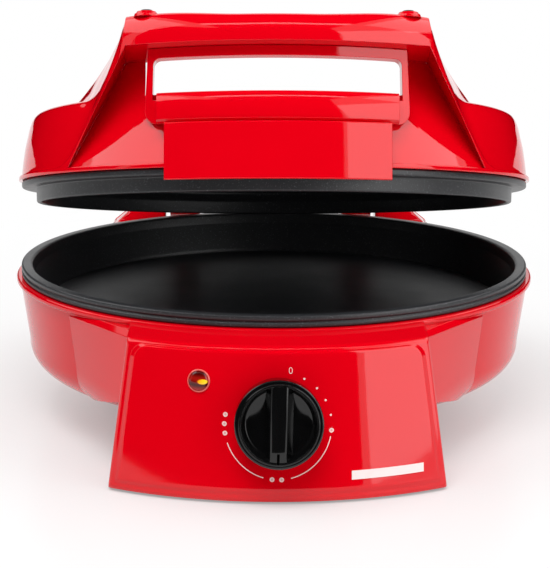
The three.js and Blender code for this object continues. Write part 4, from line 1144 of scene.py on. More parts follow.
        sheet = Solid.grid(columns, rows, place)
        mesh = sheet.mesh
        bmesh.ops.remove_doubles(mesh, verts=mesh.verts, dist=WELD)
        bmesh.ops.recalc_face_normals(mesh, faces=mesh.faces)
        out = self.spot(1, 0, 1, middle_z) - self.spot(1, 0, 0, middle_z)
        if max(mesh.faces, key=lambda f: f.calc_area()).normal.dot(out) < 0:
            bmesh.ops.reverse_faces(mesh, faces=mesh.faces)
        bmesh.ops.solidify(mesh, geom=mesh.faces, thickness=lift * 0.9)
        piece = sheet.closed().finish(name, self.places.base(), 50)
        settle(piece, Body.BASE, finish, "red_housing")

    def print_dial(self) -> None:
        """Prints the nought, the dots and the two arcs round the knob."""
        def dot(angle: float, radius: float) -> Flat:
            """Shapes a dot on the ring.

            Args:
                angle: Its angle in degrees from the top.
                radius: Its radius.
            Returns:
                Its flat shape.
            """
            x = self.print_x + self.print_r * math.sin(math.radians(angle))
            y = self.print_r * math.cos(math.radians(angle))
            return lambda u, v: (x + radius * v * math.cos(u * math.tau),
                                 y + radius * v * math.sin(u * math.tau))

        def arc(first: float, last: float) -> Flat:
            """Shapes a stroke along the ring.

            Args:
                first: Where it starts, in degrees from the top.
                last: Where it ends.
            Returns:
                Its flat shape.
            """
            def shape(u: float, v: float) -> Pair:
                """Returns one point of the stroke."""
                angle = math.radians(first + (last - first) * u)
                radius = self.print_r + self.stroke * (v - 0.5)
                return self.print_x + radius * math.sin(angle), radius * math.cos(angle)
            return shape

        def nought(u: float, v: float) -> Pair:
            """Shapes the nought, an upright oval stroke.

            Args:
                u: Share of the way round.
                v: Share of the way through the stroke.
            Returns:
                One point of it.
            """
            right, up, half, tall, grow_x, grow_y = self.nought
            x, y, power = math.cos(u * math.tau), math.sin(u * math.tau), self.squareness
            square = (abs(x) ** power + abs(y) ** power) ** (-1 / power)
            return (right + half * (1 + grow_x * (v - 0.5)) * x * square,
                    self.print_r + up + tall * (1 + grow_y * (v - 0.5)) * y * square)

        for number, angle in enumerate(self.small_dots, 1):
            self.inked(f"dial_dot_small_{number}", 24, dot(angle, self.dot_r), DIAL_INK)
        for number, angle in enumerate(self.large_dots, 1):
            self.inked(f"dial_dot_large_{number}", 28, dot(angle, self.large_dot_r), DIAL_INK)
            self.inked(f"dial_dot_core_{number}", 20, dot(angle, self.dot_r), THIN_INK,
                       lift=self.core_ink)
        for side, first, last in self.arcs:
            self.inked(f"dial_arc_{side}", 48, arc(first, last), DIAL_INK)
        self.inked("dial_nought", 48, nought, DIAL_INK)

    def blank_plate(self) -> None:
        """Sets the small blank plate at the lower right of the panel."""
        long, wide = self.plate_size
        middle, rise = self.plate_at
        cos, sin = math.cos(self.plate_tilt), math.sin(self.plate_tilt)

        def flat(u: float, v: float) -> Pair:
            """Returns one point of the plate."""
            x, y = (u - 0.5) * long, (v - 0.5) * wide
            return middle + x * cos - y * sin, x * sin + y * cos

        self.inked("blank_plate", 40, flat, PALE_PLATE, rows=4, lift=self.plate_proud,
                   middle_z=rise)

    def lamp(self) -> None:
        """Sets the lamp's lens, a low dome in a narrow collar."""
        out, stem, deep, low, rise = (self.lamp_r, self.lamp_stem, self.lamp_deep, self.dome_low,
                                      self.dome_rise)
        crown = out - self.lamp_collar
        dome = [(crown - k * crown / 10, low + rise * math.sin(math.acos(1 - k / 10)))
                for k in range(10)]
        profile = [(0.0, -deep), (stem, -deep), (stem, 0.05), (out, 0.05), (out, 0.8),
                   (out - 0.35, 1.15), *dome, (0.0, low + rise)]
        frame = self.panel_matrix(self.lamp_x, self.lamp_z)
        lens = Solid.turned(profile, 64).moved(frame)
        lens = lens.finish("lamp_amber_lens", self.places.base(), 30)
        centre = self.places.base() @ frame.translation
        settle(lens, Body.BASE, LampFinish(centre, self.lamp_r), "amber_lens", "lamp_lens")

    def build(self) -> None:
        """Makes the box and everything on it."""
        shell = self.mass(0, self.form.low, True)
        shell = shell.cut(Cut.REMOVE, self.mass(self.wall, self.form.low - 3, False))
        shell = shell.cut(Cut.REMOVE, *self.bowl.envelope(self.gap))
        holes = ((self.knob_hole, 0, self.dial_z), (self.lamp_hole, self.lamp_x, self.lamp_z))
        shell = shell.cut(Cut.REMOVE, *[disc(radius, -9, 4, 0, 0).moved(self.panel_matrix(x, z))
                                        for radius, x, z in holes])
        made = shell.finish("control_box_shell", self.places.base(), 30)
        settle(made, Body.BASE, RED_ABS, "red_housing", "control_box", "control_fascia")
        self.lamp()
        self.print_dial()
        self.blank_plate()


@dataclass
class Knob:
    """The thermostat knob: a cup with two dished halves and a grip bar across it."""

    places: Places
    box: ControlBox
    radius: float = 24.9
    rim: float = 22.2
    height: float = 16.37
    gap: float = 0.8
    foot: float = 0.8
    soft: float = 1.0
    step: float = 0.7
    land: float = 0.8
    dish: float = 9.0
    grip_base: float = 15.6
    grip_top: float = 9.2
    grip_end: float = 0.7
    grip_soft: float = 2.0
    grip_reach: float = 0.9
    roll: float = 9.5
    roll_drop: float = 1.3
    slot: Triple = (1.5, 6.0, 3.2)
    slot_in: float = 0.2
    rest_turn: float = math.radians(-1.5)
    steps: int = 128

    def cup(self, low: float, top: float) -> Solid:
        """Makes the cup, with a ledge outside its rim and a dished floor.

        Args:
            low: Height of its foot over the panel.
            top: Height of its rim.
        Returns:
            The solid.
        """
        rim, inner, soft = self.rim, self.rim - self.land, self.soft
        floor, ledge = top - self.dish, top - self.step
        return Solid.turned(
            [(0.0, low), (self.radius - self.foot, low), (self.radius, low + self.foot),
             *quarter(self.radius, ledge, soft, soft, 8)[:-1], (self.radius - soft - 0.15, ledge),
             (rim + 0.75, ledge), (rim + 0.6, ledge), (rim + 0.35, ledge + 0.1),
             (rim + 0.15, top - 0.15), (rim, top), (inner, top), (inner - 0.4, top - 0.8),
             (inner - 1.4, floor + 2.2), (inner - 2.6, floor + 0.6), (inner - 4.4, floor),
             (0.0, floor)], self.steps)

    def grip(self, low: float, top: float) -> Solid:
        """Makes the bar across the cup, narrower at its crest and rolled down at the pointer's end.

        Args:
            low: Height of its foot over the panel.
            top: Height of its crest.
        Returns:
            The solid.
        """
        floor, end, reach = top - self.dish, self.rim + self.grip_end, self.rim + self.grip_reach
        half, crest, soft = self.grip_base / 2, self.grip_top / 2, self.grip_soft
        outline = rounded([(-half, low), (half, low), (half, floor), (crest, top), (-crest, top),
                           (-half, floor)], [0, 0, 1.2, soft, soft, 1.2])
        rolled = [(-end + self.roll * (1 - k / 10), top - self.roll_drop * (k / 10) ** 2)
                  for k in range(10, -1, -1)]
        side = [(-end, low), *rolled, (end - 1.6, top), (end - 0.6, top - 0.5), (end, top - 1.6),
                (end, low)]
        bar = Solid.prism(outline, View.FRONT, -self.radius, self.radius)
        bar = bar.cut(Cut.KEEP, Solid.prism(side, View.SIDE, -self.radius, self.radius))
        return bar.cut(Cut.KEEP, Solid.turned([(0.0, low), (reach, low), (reach, top - 0.3),
                                               (self.rim + 0.6, top), (0.0, top)], self.steps))

    def build(self) -> None:
        """Makes the knob and dresses it."""
        low, top = self.gap, self.gap + self.height
        wide, long, deep = self.slot
        start = self.slot_in - self.rim
        slot = Solid.box((-wide / 2, start, top - deep), (wide / 2, start + long, top + deep))
        solid = self.cup(low, top).cut(Cut.ADD, self.grip(low, top)).cut(Cut.REMOVE, slot)
        frame = self.box.panel_matrix(0, self.box.dial_z) @ Matrix.Rotation(self.rest_turn, 4, "Z")
        made = solid.moved(frame).finish("thermostat_knob", self.places.base(), 30)
        settle(made, Body.KNOB, BLACK_PHENOLIC, "black_knob", "knob")


@dataclass
class LidShell:
    """The red lid: a low dome, a fin at each side, and the handle bar between the fins.

    A pair of wall_shares is a share of the rim's radius and one of the deck's height. A row of
    leg_shares is the place along, the leg's foot and ridge outside, its ridge and foot inside, all
    as shares of the rim's radius, and last the share of the handle's height that it keeps there.
    """

    places: Places
    rim: float = 168.0
    rim_low: float = 4.7
    foot_z: float = 7.5
    deck: float = 49.6
    wall: float = 3.0
    recess_low: float = 165.8
    recess_high: float = 145.0
    recess_top: float = 137.0
    front: float = 167.5
    back: float = 130.0
    top: float = 93.0
    bar_low: float = 76.5
    bar_back_low: float = 70.8
    soft: float = 10.5
    brow: float = 13.0
    end_rise: float = 2.2
    fin_foot: float = 128.0
    fin_top: float = 91.6
    fin_wall: float = 3.0
    blend: float = 9.0
    ridge: float = 3.0
    boss_x: float = 76.5
    boss_y: float = -138.0
    arm_x: Pair = (54.7, 78.3)
    arm_y: Pair = (110.0, 172.0)
    arm_z: Pair = (13.7, 23.8)
    plug_ring: float = 106.0
    plug_angles: tuple[float, ...] = (-90.0, 30.0, 150.0)
    reach: float = 168.6
    apron: float = 2.5
    front_y: float = -172.0
    turn_y: float = -108.0
    tail_y: float = 33.0
    middle_y: float = 20.0
    rear_y: float = 100.0
    turn_share: float = 0.25
    tail_share: float = 0.68
    cuts: int = 190
    outer_cells: int = 72
    inner_cells: int = 12
    back_soft: float = 3.5
    lip_in: float = 158.0
    rise_from: float = 20.0
    rise_over: float = 50.0
    pad: Triple = (3.9, 3.25, 4.8)
    boss: tuple[Pair, ...] = (
        (0.0, 0.5), (7.6, 0.5), (7.0, 2.3), (6.3, 2.8), (6.0, 3.1), (5.8, 3.5), (5.4, 3.8),
        (4.9, 3.9), (4.4, 3.7), (4.1, 3.3), (0.0, 3.2))
    wall_shares: tuple[Pair, ...] = (
        (0.0, 1.0), (0.85, 1.0), (0.885, 0.993), (0.915, 0.975), (0.935, 0.94), (0.948, 0.88),
        (0.958, 0.79), (0.967, 0.66), (0.976, 0.52), (0.983, 0.36), (0.987, 0.24), (0.989, 0.18),
        (0.993, 0.1512), (1.05, 0.1512))
    leg_shares: tuple[tuple[float, ...], ...] = (
        (-1.050, 0.620, 0.524, 0.466, 0.466, 1.000), (-0.834, 0.622, 0.525, 0.466, 0.466, 1.000),
        (-0.780, 0.697, 0.529, 0.466, 0.466, 1.000), (-0.744, 0.721, 0.530, 0.466, 0.466, 1.000),
        (-0.699, 0.743, 0.532, 0.466, 0.466, 1.000), (-0.643, 0.762, 0.535, 0.470, 0.470, 1.000),
        (-0.595, 0.780, 0.546, 0.474, 0.472, 0.982), (-0.536, 0.798, 0.568, 0.484, 0.476, 0.942),
        (-0.476, 0.815, 0.593, 0.496, 0.482, 0.892), (-0.387, 0.833, 0.637, 0.524, 0.496, 0.802),
        (-0.298, 0.857, 0.684, 0.560, 0.516, 0.718), (-0.208, 0.881, 0.732, 0.604, 0.545, 0.644),
        (-0.090, 0.904, 0.780, 0.662, 0.600, 0.586), (0.060, 0.929, 0.821, 0.730, 0.680, 0.520),
        (0.200, 0.950, 0.845, 0.780, 0.740, 0.420), (0.350, 0.960, 0.860, 0.800, 0.770, 0.300))

    def __post_init__(self) -> None:
        """Prepares the smooth curves through the tables."""
        self.deck_at = monotone([(r * self.rim, z * self.deck) for r, z in self.wall_shares])
        self.along = [monotone([(row[0] * self.rim, row[k]) for row in self.leg_shares])
                      for k in range(1, 6)]

    def height(self, x: float, y: float) -> float:
        """Finds the height of the lid's outside over a place, before anything is cut from it.

        Args:
            x: Place across.
            y: Place along.
        Returns:
            The height.
        """
        foot, ridge = self.along[0](y) * self.rim, self.along[1](y) * self.rim
        high = self.along[4](y) * self.top
        slope = self.foot_z + (high - self.foot_z) * (foot - abs(x)) / (foot - ridge)
        deck, leg = self.deck_at(math.hypot(x, y)), soft_min(slope, high, self.ridge)
        return soft_max(deck, leg, self.blend) if leg > 0 else deck

    def slice(self, share: float) -> tuple[Vector, Vector, Vector]:
        """Plans one cut through the right half.

        Args:
            share: Which cut, from the front to the back.
        Returns:
            Where the cut meets the rim, the leg's ridge and the middle.
        """
        def ridge(y: float) -> Vector:
            """Returns the place of the leg's ridge."""
            return Vector((self.along[1](y) * self.rim, y))

        def foot(y: float) -> Vector:
            """Returns a place just outside the leg's foot."""
            return Vector((self.along[0](y) * self.rim + self.apron, y))

        turn_y, tail = self.turn_y, ridge(self.tail_y)
        if share < self.turn_share:
            y = self.front_y + (turn_y - self.front_y) * share / self.turn_share
            return foot(y), ridge(y), Vector((0, y))
        first, last = math.atan2(turn_y, self.fin_foot + self.apron), math.atan2(tail.y, tail.x)
        if share < self.tail_share:
            t = (share - self.turn_share) / (self.tail_share - self.turn_share)
            ease = min(t * 8, 1)
            angle = first + (last - first) * t
            out = foot(turn_y).length * (1 - ease) + self.reach * ease
            return (Vector((math.cos(angle), math.sin(angle))) * out,
                    ridge(turn_y + (self.tail_y - turn_y) * t),
                    Vector((0, turn_y + (self.middle_y - turn_y) * t)))
        t = (share - self.tail_share) / (1 - self.tail_share)
        angle = last + (math.pi / 2 - last) * t
        spoke = Vector((math.cos(angle), math.sin(angle)))
        return (spoke * self.reach, spoke * tail.length,
                Vector((0, self.middle_y + (self.rear_y - self.middle_y) * t)))

    def contour(self, share: float) -> list[Vector]:
        """Draws one cut through the right half, its points evenly spaced along the surface.

        Args:
            share: Which cut, from the front to the back.
        Returns:
            The points from the rim to the middle.
        """
        result: list[Vector] = []
        start, ridge, middle = self.slice(share)
        runs = ((start, ridge, self.outer_cells), (ridge, middle, self.inner_cells))
        fine = 300
        for first, last, count in runs:
            plan = [first.lerp(last, k / fine) for k in range(fine + 1)]
            dense = [Vector((spot.x, spot.y, self.height(spot.x, spot.y))) for spot in plan]
            lengths = [0.0]
            for here, there in zip(dense, dense[1:]):
                lengths.append(lengths[-1] + (there - here).length)
            k = 0
            for goal in range(count):
                target = lengths[-1] * goal / count
                while lengths[k + 1] < target:
                    k += 1
                span = lengths[k + 1] - lengths[k]
                part = (target - lengths[k]) / span if span else 0.0
                result.append(dense[k].lerp(dense[k + 1], part))
        result.append(Vector((middle.x, middle.y, self.height(middle.x, middle.y))))
        return result

    def mass(self) -> Solid:
        """Makes the dome with both legs as one smooth solid.

        Returns:
            The solid.
        """
        contours = [self.contour(k / self.cuts) for k in range(self.cuts + 1)]
        floor = self.rim_low + 0.6
        for points in contours:
            points.insert(0, Vector((points[0].x, points[0].y, floor)))
        contours.insert(0, [Vector((spot.x, spot.y, floor)) for spot in contours[0]])
        columns = self.outer_cells + self.inner_cells + 1
        skin = Solid.grid(columns, self.cuts + 1, lambda i, k: contours[k][i])
        bmesh.ops.mirror(skin.mesh, geom=[*skin.mesh.verts, *skin.mesh.edges, *skin.mesh.faces],
                         axis="X", merge_dist=WELD)
        return skin.capped()

    def recess_r(self, z: float) -> float:
        """Finds the radius of the recessed wall between the fins.

        Args:
            z: Height of the place.
        Returns:
            The radius there.
        """
        deck, low, high = self.deck, self.recess_low, self.recess_high
        if z <= deck:
            return low + (high - low) * (z - self.foot_z) / (deck - self.foot_z)
        return high + (self.recess_top - high) * (z - deck) / (self.bar_low - deck)

    def under_bar(self, radius: float) -> float:
        """Returns the height of the bar's underside at a radius."""
        slope = (self.bar_low - self.bar_back_low) / (self.front - self.back)
        return self.bar_low - slope * (self.front - radius)

    def recess(self) -> Solid:
        """Makes what is taken out between the fins.

        Returns:
            The solid.
        """
        far, low = self.front + 4, self.foot_z
        ring = Solid.turned([(self.recess_low, low), (far, low), (far, self.under_bar(far)),
                             (self.recess_top, self.under_bar(self.recess_top)),
                             (self.recess_high, self.deck)], 150, (195, 345))
        foot, head = self.fin_foot - self.fin_wall, self.fin_top - self.fin_wall
        view = [(-foot, low - 0.01), (foot, low - 0.01), (head, self.bar_low),
                (-head, self.bar_low)]
        return ring.cut(Cut.KEEP, Solid.prism(view, View.FRONT, -far - 5, 0))

    def between_legs(self) -> Solid:
        """Makes what is taken out behind the bar, between the legs and over the deck.

        Returns:
            The solid.
        """
        back, top, soft = self.back, self.top, self.back_soft
        reach, inner = self.recess_high + 1.0, self.recess_top + 1.0
        ring = Solid.turned(
            [(0.0, self.deck), (reach, self.deck), (inner, self.under_bar(inner)),
             (back + 2.2, self.under_bar(back + 2.2)), (back + 0.5, self.bar_back_low + 0.9),
             (back, self.bar_back_low + 2.6), *quarter(back, top, -soft, soft, 5),
             (back + soft, top + 5), (0.0, top + 5)], 360)
        sections, over, under = [], top + 6, self.deck - 5
        for k in range(61):
            y = -150 + 205 * k / 60
            high, low = self.along[2](y) * self.rim, self.along[3](y) * self.rim
            grow = (over - self.deck) / max(self.along[4](y) * top - self.deck, 12)
            wide = low + (high - low) * min(grow, 1.6)
            sections.append([Vector((x, y, z)) for x, z in
                             ((-low, under), (low, under), (wide, over), (-wide, over))])
        return ring.cut(Cut.KEEP, Solid.rings(sections))

    def trim(self) -> Solid:
        """Makes the round envelope that the front of the handle follows.

        Returns:
            The solid.
        """
        brow = quarter(self.front, self.top, self.soft, self.brow, 14)
        return Solid.turned([(0.0, self.rim_low), (self.front, self.rim_low), *brow,
                             (0.0, self.top)], 256)

    def lift_ends(self, shell: Solid) -> None:
        """Lets the top of the handle rise a little towards its two ends.

        Args:
            shell: The lid's solid.
        """
        low = self.bar_low + 2
        for vert in shell.mesh.verts:
            out = min(max((abs(vert.co.x) - self.rise_from) / self.rise_over, 0.0), 1.0)
            share = min(max((vert.co.z - low) / (self.top - low), 0.0), 1.0)
            vert.co.z += self.end_rise * out * out * (3 - 2 * out) * share

    def lip(self) -> Solid:
        """Makes the thin lip round the foot of the lid.

        Returns:
            The solid.
        """
        low, high = self.rim_low, self.foot_z + 0.05
        outline = [(self.lip_in, low), (self.rim, low), (self.rim, high), (self.lip_in, high)]
        return Solid.turned(rounded(outline, [0, 0.5, 0.9, 0], 4), 256)

    def hollow(self) -> Solid:
        """Makes the space inside the lid.

        Returns:
            The solid.
        """
        high, foot = self.deck - self.wall, self.recess_low - self.wall
        return Solid.turned([(0.0, 0.0), (foot, 0.0), (foot, self.foot_z),
                             (self.recess_r(high) - self.wall, high), (0.0, high)], 128)

    def shell(self, spots: Sequence[Pair]) -> Solid:
        """Makes the red moulding with everything cut from it.

        Args:
            spots: Where the pockets for the plugs are.
        Returns:
            The solid.
        """
        (inner, outer), (front, back), (low, high) = self.arm_x, self.arm_y, self.arm_z
        arms = [Solid.box((x, front, low), (x + outer - inner, back, high))
                for x in (-outer, inner)]
        pockets = [disc(7.3, self.deck - 2.3, self.deck + 3, x, y) for x, y in spots]
        shell = self.mass().cut(Cut.KEEP, self.trim())
        shell = shell.cut(Cut.REMOVE, self.recess(), self.between_legs(), *pockets)
        shell = shell.cut(Cut.ADD, self.lip()).cut(Cut.REMOVE, self.hollow(), *arms)
        self.lift_ends(shell)
        return shell

    def build(self) -> None:
        """Makes the lid, its bosses, pads and plugs, and dresses them."""
        place = self.places.lid()
        ring, turns = self.plug_ring, [math.radians(angle) for angle in self.plug_angles]
        spots = [(ring * math.cos(turn), ring * math.sin(turn)) for turn in turns]
        made = self.shell(spots).finish("lid_shell", place, 28)
        settle(made, Body.LID, RED_ABS, "red_housing", "lid_housing")
        for number, (x, y) in enumerate(spots, 1):
            plug = disc(7.0, self.deck - 2, self.deck, x, y, 0.5)
            settle(plug.finish(f"lid_plug_{number}", place), Body.LID, RED_ABS, "red_housing",
                   f"lid_screw_plug_{number}")
        radius, low, high = self.pad
        for name, x in (("left", -self.boss_x), ("right", self.boss_x)):
            boss = Solid.turned([(r, self.top + rise) for r, rise in self.boss], 64)
            boss.moved(Matrix.Translation((x, self.boss_y, 0)))
            settle(boss.finish(f"handle_boss_{name}", place), Body.LID, RED_ABS, "red_housing")
            pad = disc(radius, self.top + low, self.top + high, x, self.boss_y, 1.4)
            settle(pad.finish(f"handle_pad_{name}", place, 50), Body.LID, BLACK_RUBBER,
                   "black_rubber", f"handle_foot_{name}")


@dataclass
class HandTrim:
    """The frame round the hand opening and the tongue that hangs over the rim."""

    places: Places
    lid: LidShell
    half: float = 77.9
    half_top: float = 75.6
    bar: float = 3.3
    nose_half: float = 70.2
    window_top: float = 69.0
    low: float = 30.6
    high: float = 48.8
    face: float = 168.0
    post: float = 158.0
    corner: float = 8.0
    tongue_half: float = 65.4
    tongue_face: float = 171.8
    tongue_wall: float = 2.6
    tongue_low: float = -2.6
    tongue_clear: float = 168.6
    tongue_high: float = 50.0
    gap: float = 0.3
    frame_sweep: Pair = (240.0, 300.0)
    tongue_sweep: Pair = (243.0, 297.0)
    steps: int = 120
    nose: tuple[Pair, ...] = ((2.6, 0.0), (1.1, 0.5), (0.2, 1.7), (0.0, 4.0), (0.25, 8.0),
                              (0.8, 12.0), (1.6, 14.6), (2.8, 16.4))
    nose_top: tuple[Pair, ...] = ((4.6, 0.8), (7.0, 0.2), (10.0, 0.0))

    def back(self, z: float) -> float:
        """Returns the radius of the trim's back at a height."""
        return self.lid.recess_r(z) + self.gap

    def frame(self) -> Solid:
        """Makes the frame: a ring round the opening, wider at its foot, and a round nose below it.

        Returns:
            The solid.
        """
        low, sill, bar_low = self.low, self.high, self.lid.bar_low
        far = -self.face - 5
        post_top = self.lid.under_bar(self.post) - self.gap
        back_top = self.lid.under_bar(self.back(sill)) - self.gap
        ring = Solid.turned([(self.back(low), low), (self.post, low), (self.post, post_top),
                             (self.back(sill), back_top), (self.back(sill), sill)],
                            self.steps, self.frame_sweep)
        outline = rounded([(-self.half, low), (self.half, low), (self.half_top, bar_low),
                           (-self.half_top, bar_low)], [self.corner, self.corner, 0, 0], 10)
        inside, foot = self.half_top - self.bar, self.half_top - self.bar + 0.6
        window = rounded([(-foot, sill - 4), (foot, sill - 4), (inside, self.window_top),
                          (-inside, self.window_top)], [0, 0, 4, 4], 8)
        ring = ring.cut(Cut.KEEP, Solid.prism(outline, View.FRONT, far, 0))
        ring = ring.cut(Cut.REMOVE, Solid.prism(window, View.FRONT, far, 0))
        edge = [*[(self.face - back, low + up) for back, up in self.nose],
                *[(self.face - back, sill - down) for back, down in self.nose_top]]
        nose = Solid.turned([(self.back(low), low), *edge, (self.back(sill), sill)], 160,
                            self.frame_sweep)
        half = self.nose_half
        view = rounded([(-half, low - 1), (half, low - 1), (half, sill + 1), (-half, sill + 1)],
                       [0, 0, 1.2, 1.2])
        return ring.cut(Cut.ADD, nose.cut(Cut.KEEP, Solid.prism(view, View.FRONT, far, 0)))

    def tongue(self) -> Solid:
        """Makes the tongue, a curved plate with its sides turned back to the lid.

        Returns:
            The solid.
        """
        face, wall, clear, deep = (self.tongue_face, self.tongue_wall, self.tongue_clear,
                                   self.lid.recess_high)
        low, high, top = self.tongue_low, self.tongue_high, self.low - self.gap
        foot, seat = self.lid.foot_z, self.lid.foot_z + self.gap
        shell = Solid.turned(
            [(clear, low), (face - 0.5, low), (face, low + 0.5), (face, top - 0.5),
             (face - 0.5, top), (self.back(top), top), (self.back(seat), seat), (clear, seat)],
            self.steps, self.tongue_sweep)
        hollow = Solid.turned([(deep, foot - 3), (clear + self.gap, foot - 3),
                               (face - wall, top - wall), (deep, top - wall)],
                              self.steps, self.tongue_sweep)
        half, inner = self.tongue_half, self.tongue_half - wall
        view = [(-half, low - 3), (half, low - 3), (half, high), (-half, high)]
        within = [(-inner, seat), (inner, seat), (inner, high), (-inner, high)]
        shell = shell.cut(Cut.KEEP, Solid.prism(view, View.FRONT, -face - 5, 0))
        hollow = hollow.cut(Cut.KEEP, Solid.prism(within, View.FRONT, -face, 0))
        return shell.cut(Cut.REMOVE, hollow)

    def build(self) -> None:
        """Makes both pieces and dresses them."""
        for solid, name, cad_name in ((self.frame(), "hand_opening_frame", "handle_frame"),
                                      (self.tongue(), "lid_front_tongue", "front_tongue")):
            piece = solid.finish(name, self.places.lid(), 30)
            settle(piece, Body.LID, RED_ABS, "red_housing", cad_name)


@dataclass
class RearHousing:
    """The housing behind the bowl, with the two hinge towers."""

    places: Places
    bowl: BaseShell
    half_low: float = 126.0
    half_high: float = 123.0
    shoulder_x: float = 110.5
    shoulder_z: float = 86.0
    shoulder_rise: float = 10.0
    top_x: float = 105.0
    inner_x: float = 81.0
    front_y: float = 128.0
    back_y: float = 200.0
    bridge_z: float = 58.0
    tower_r: float = 11.3
    low: float = 1.2
    wall: float = 2.8
    round: float = 2.6
    corner_r: float = 12.0
    gap: float = 0.3
    tower_x: Pair = (84.0, 107.0)
    tower_drop: float = 16.0
    pin_r: float = 3.08
    pin_x: Pair = (78.0, 99.0)
    cord_r: float = 6.5
    cord_y: Pair = (190.0, 206.0)

    def mass(self) -> Solid:
        """Makes the outside of the housing with its edges rounded.

        Returns:
            The solid.
        """
        hinge, rim, seat = self.places.hinge_y, self.places.rim_z, self.bowl.flange_top
        radius, turns = self.tower_r, [k / 20 * math.pi for k in range(21)]
        arc = [(hinge + radius * math.cos(turn), rim + radius * math.sin(turn)) for turn in turns]
        side = [(self.front_y, self.low), (self.back_y, self.low), (self.back_y, self.bridge_z),
                (hinge + radius, self.bridge_z + 16), *arc, (hinge - radius - 7, seat),
                (self.front_y, seat)]
        right = [(self.half_low, self.low), (self.half_high, self.shoulder_z),
                 (self.shoulder_x, self.shoulder_z + self.shoulder_rise),
                 (self.top_x, rim + radius), (self.inner_x, rim + radius),
                 (self.inner_x, self.bridge_z)]
        left = [(-x, z) for x, z in reversed(right)]
        outline = rounded([*right, *left], [0, 6, 6, 5, 3, 5, 5, 3, 5, 6, 6, 0])
        body = Solid.prism(side, View.SIDE, -self.half_low, self.half_low)
        body = body.cut(Cut.KEEP, Solid.prism(outline, View.FRONT, self.front_y - 3,
                                              hinge + radius + 3))
        corners = [self.corner(hand, end) for hand in (-1, 1) for end in (-1, 1)]
        body = body.cut(Cut.REMOVE, *corners)
        return body.softened(self.round, 40, 4)

    def corner(self, side: int, end: int) -> Solid:
        """Makes what is taken off an upright edge of the housing to round it.

        Args:
            side: Minus one on the left, one on the right.
            end: Minus one at the bowl, one at the back.
        Returns:
            The solid.
        """
        radius = self.corner_r
        face = self.back_y if end > 0 else self.front_y
        x, y = side * (self.half_low - radius), face - end * radius
        out = x + side * (radius + 1)
        arc = quarter(side * self.half_low, face, side * radius, end * radius, 12)
        outline = [(out, y - end * 0.01), *arc, (x - side * 0.01, face + end), (out, face + end)]
        return Solid.prism(outline, View.PLAN, self.low - 1, self.places.rim_z)

    def build(self) -> None:
        """Makes the housing and dresses it."""
        hinge, rim, wall = self.places.hinge_y, self.places.rim_z, self.wall
        front, back, bridge = self.front_y + wall, self.back_y - wall, self.bridge_z - wall
        half, (inner, outer), (near, far) = self.half_high - wall, self.tower_x, self.pin_x
        hollow = Solid.box((-half, front, self.low - 3), (half, back, bridge))
        head = rim - self.tower_drop
        towers = [Solid.box((x, front, bridge - 1), (x + outer - inner, back, head))
                  for x in (-outer, inner)]
        across = Matrix.Rotation(math.pi / 2, 4, "Y")
        pins = [disc(self.pin_r, 0, far - near, 0, 0).moved(
            Matrix.Translation((x, hinge, rim)) @ across) for x in (-far, near)]
        cord = disc(self.cord_r, *self.cord_y, 0, 0).moved(self.places.cord())
        shell = self.mass().cut(Cut.REMOVE, hollow, *towers)
        shell = shell.cut(Cut.REMOVE, *self.bowl.envelope(self.gap)).cut(Cut.REMOVE, *pins, cord)
        made = shell.finish("rear_hinge_housing", self.places.base(), 30)
        settle(made, Body.BASE, RED_ABS, "red_housing", "rear_housing")


@dataclass
class SmallParts:
    """Rubber feet, the cord bushing, and finishes for the CAD pieces that stay."""

    places: Places
    frame: dict[str, object]
    feet: tuple[tuple[str, float, float], ...] = (
        ("front_foot_left", -78, -172), ("front_foot_right", 78, -172),
        ("rear_foot_left", -100, 182), ("rear_foot_right", 100, 182))
    foot: tuple[Pair, ...] = (
        (0.0, 0.0), (7.2, 0.0), (7.7, 0.15), (8.0, 0.6), (8.0, 1.7), (0.0, 1.7))
    bushing: tuple[Pair, ...] = (
        (4.0, 188.6), (6.0, 188.6), (6.2, 188.9), (6.2, 200.3), (8.4, 200.3), (8.6, 200.6),
        (8.5, 202.2), (8.0, 202.9), (4.6, 202.9), (4.0, 202.3))

    def build(self) -> None:
        """Makes the feet and the bushing and dresses the CAD pieces."""
        for name, x, y in self.feet:
            foot = Solid.turned(self.foot, 48).moved(Matrix.Translation((x, y, 0)))
            settle(foot.finish(f"rubber_{name}", self.places.base()), Body.BASE, BLACK_RUBBER,
                   "black_rubber", name)
        bushing = Solid.turned(self.bushing, 64).moved(self.places.cord())
        settle(bushing.finish("cord_entry_bushing", self.places.base()), Body.BASE, BLACK_RUBBER,
               "black_rubber", "cord_bushing")
        by_slot = {
            "red_housing": RED_ABS, "coated_plate": COATED_CAST, "heater_sheath": HEATED_SHEATH,
            "shield_sheet": BRIGHT_SHEET, "black_knob": BLACK_PHENOLIC, "brass_shaft": TURNED_BRASS,
            "black_rubber": BLACK_RUBBER, "black_plastic": BLACK_PLASTIC, "pale_resin": PALE_RESIN,
            "plain_steel": ZINC_STEEL,
        }
        for row in self.frame["record"]["subparts"]:
            piece = self.frame["nodes"][row["node"]]
            if not piece.hide_render and row["material_slot"] in by_slot:
                paint(piece, by_slot[row["material_slot"]])


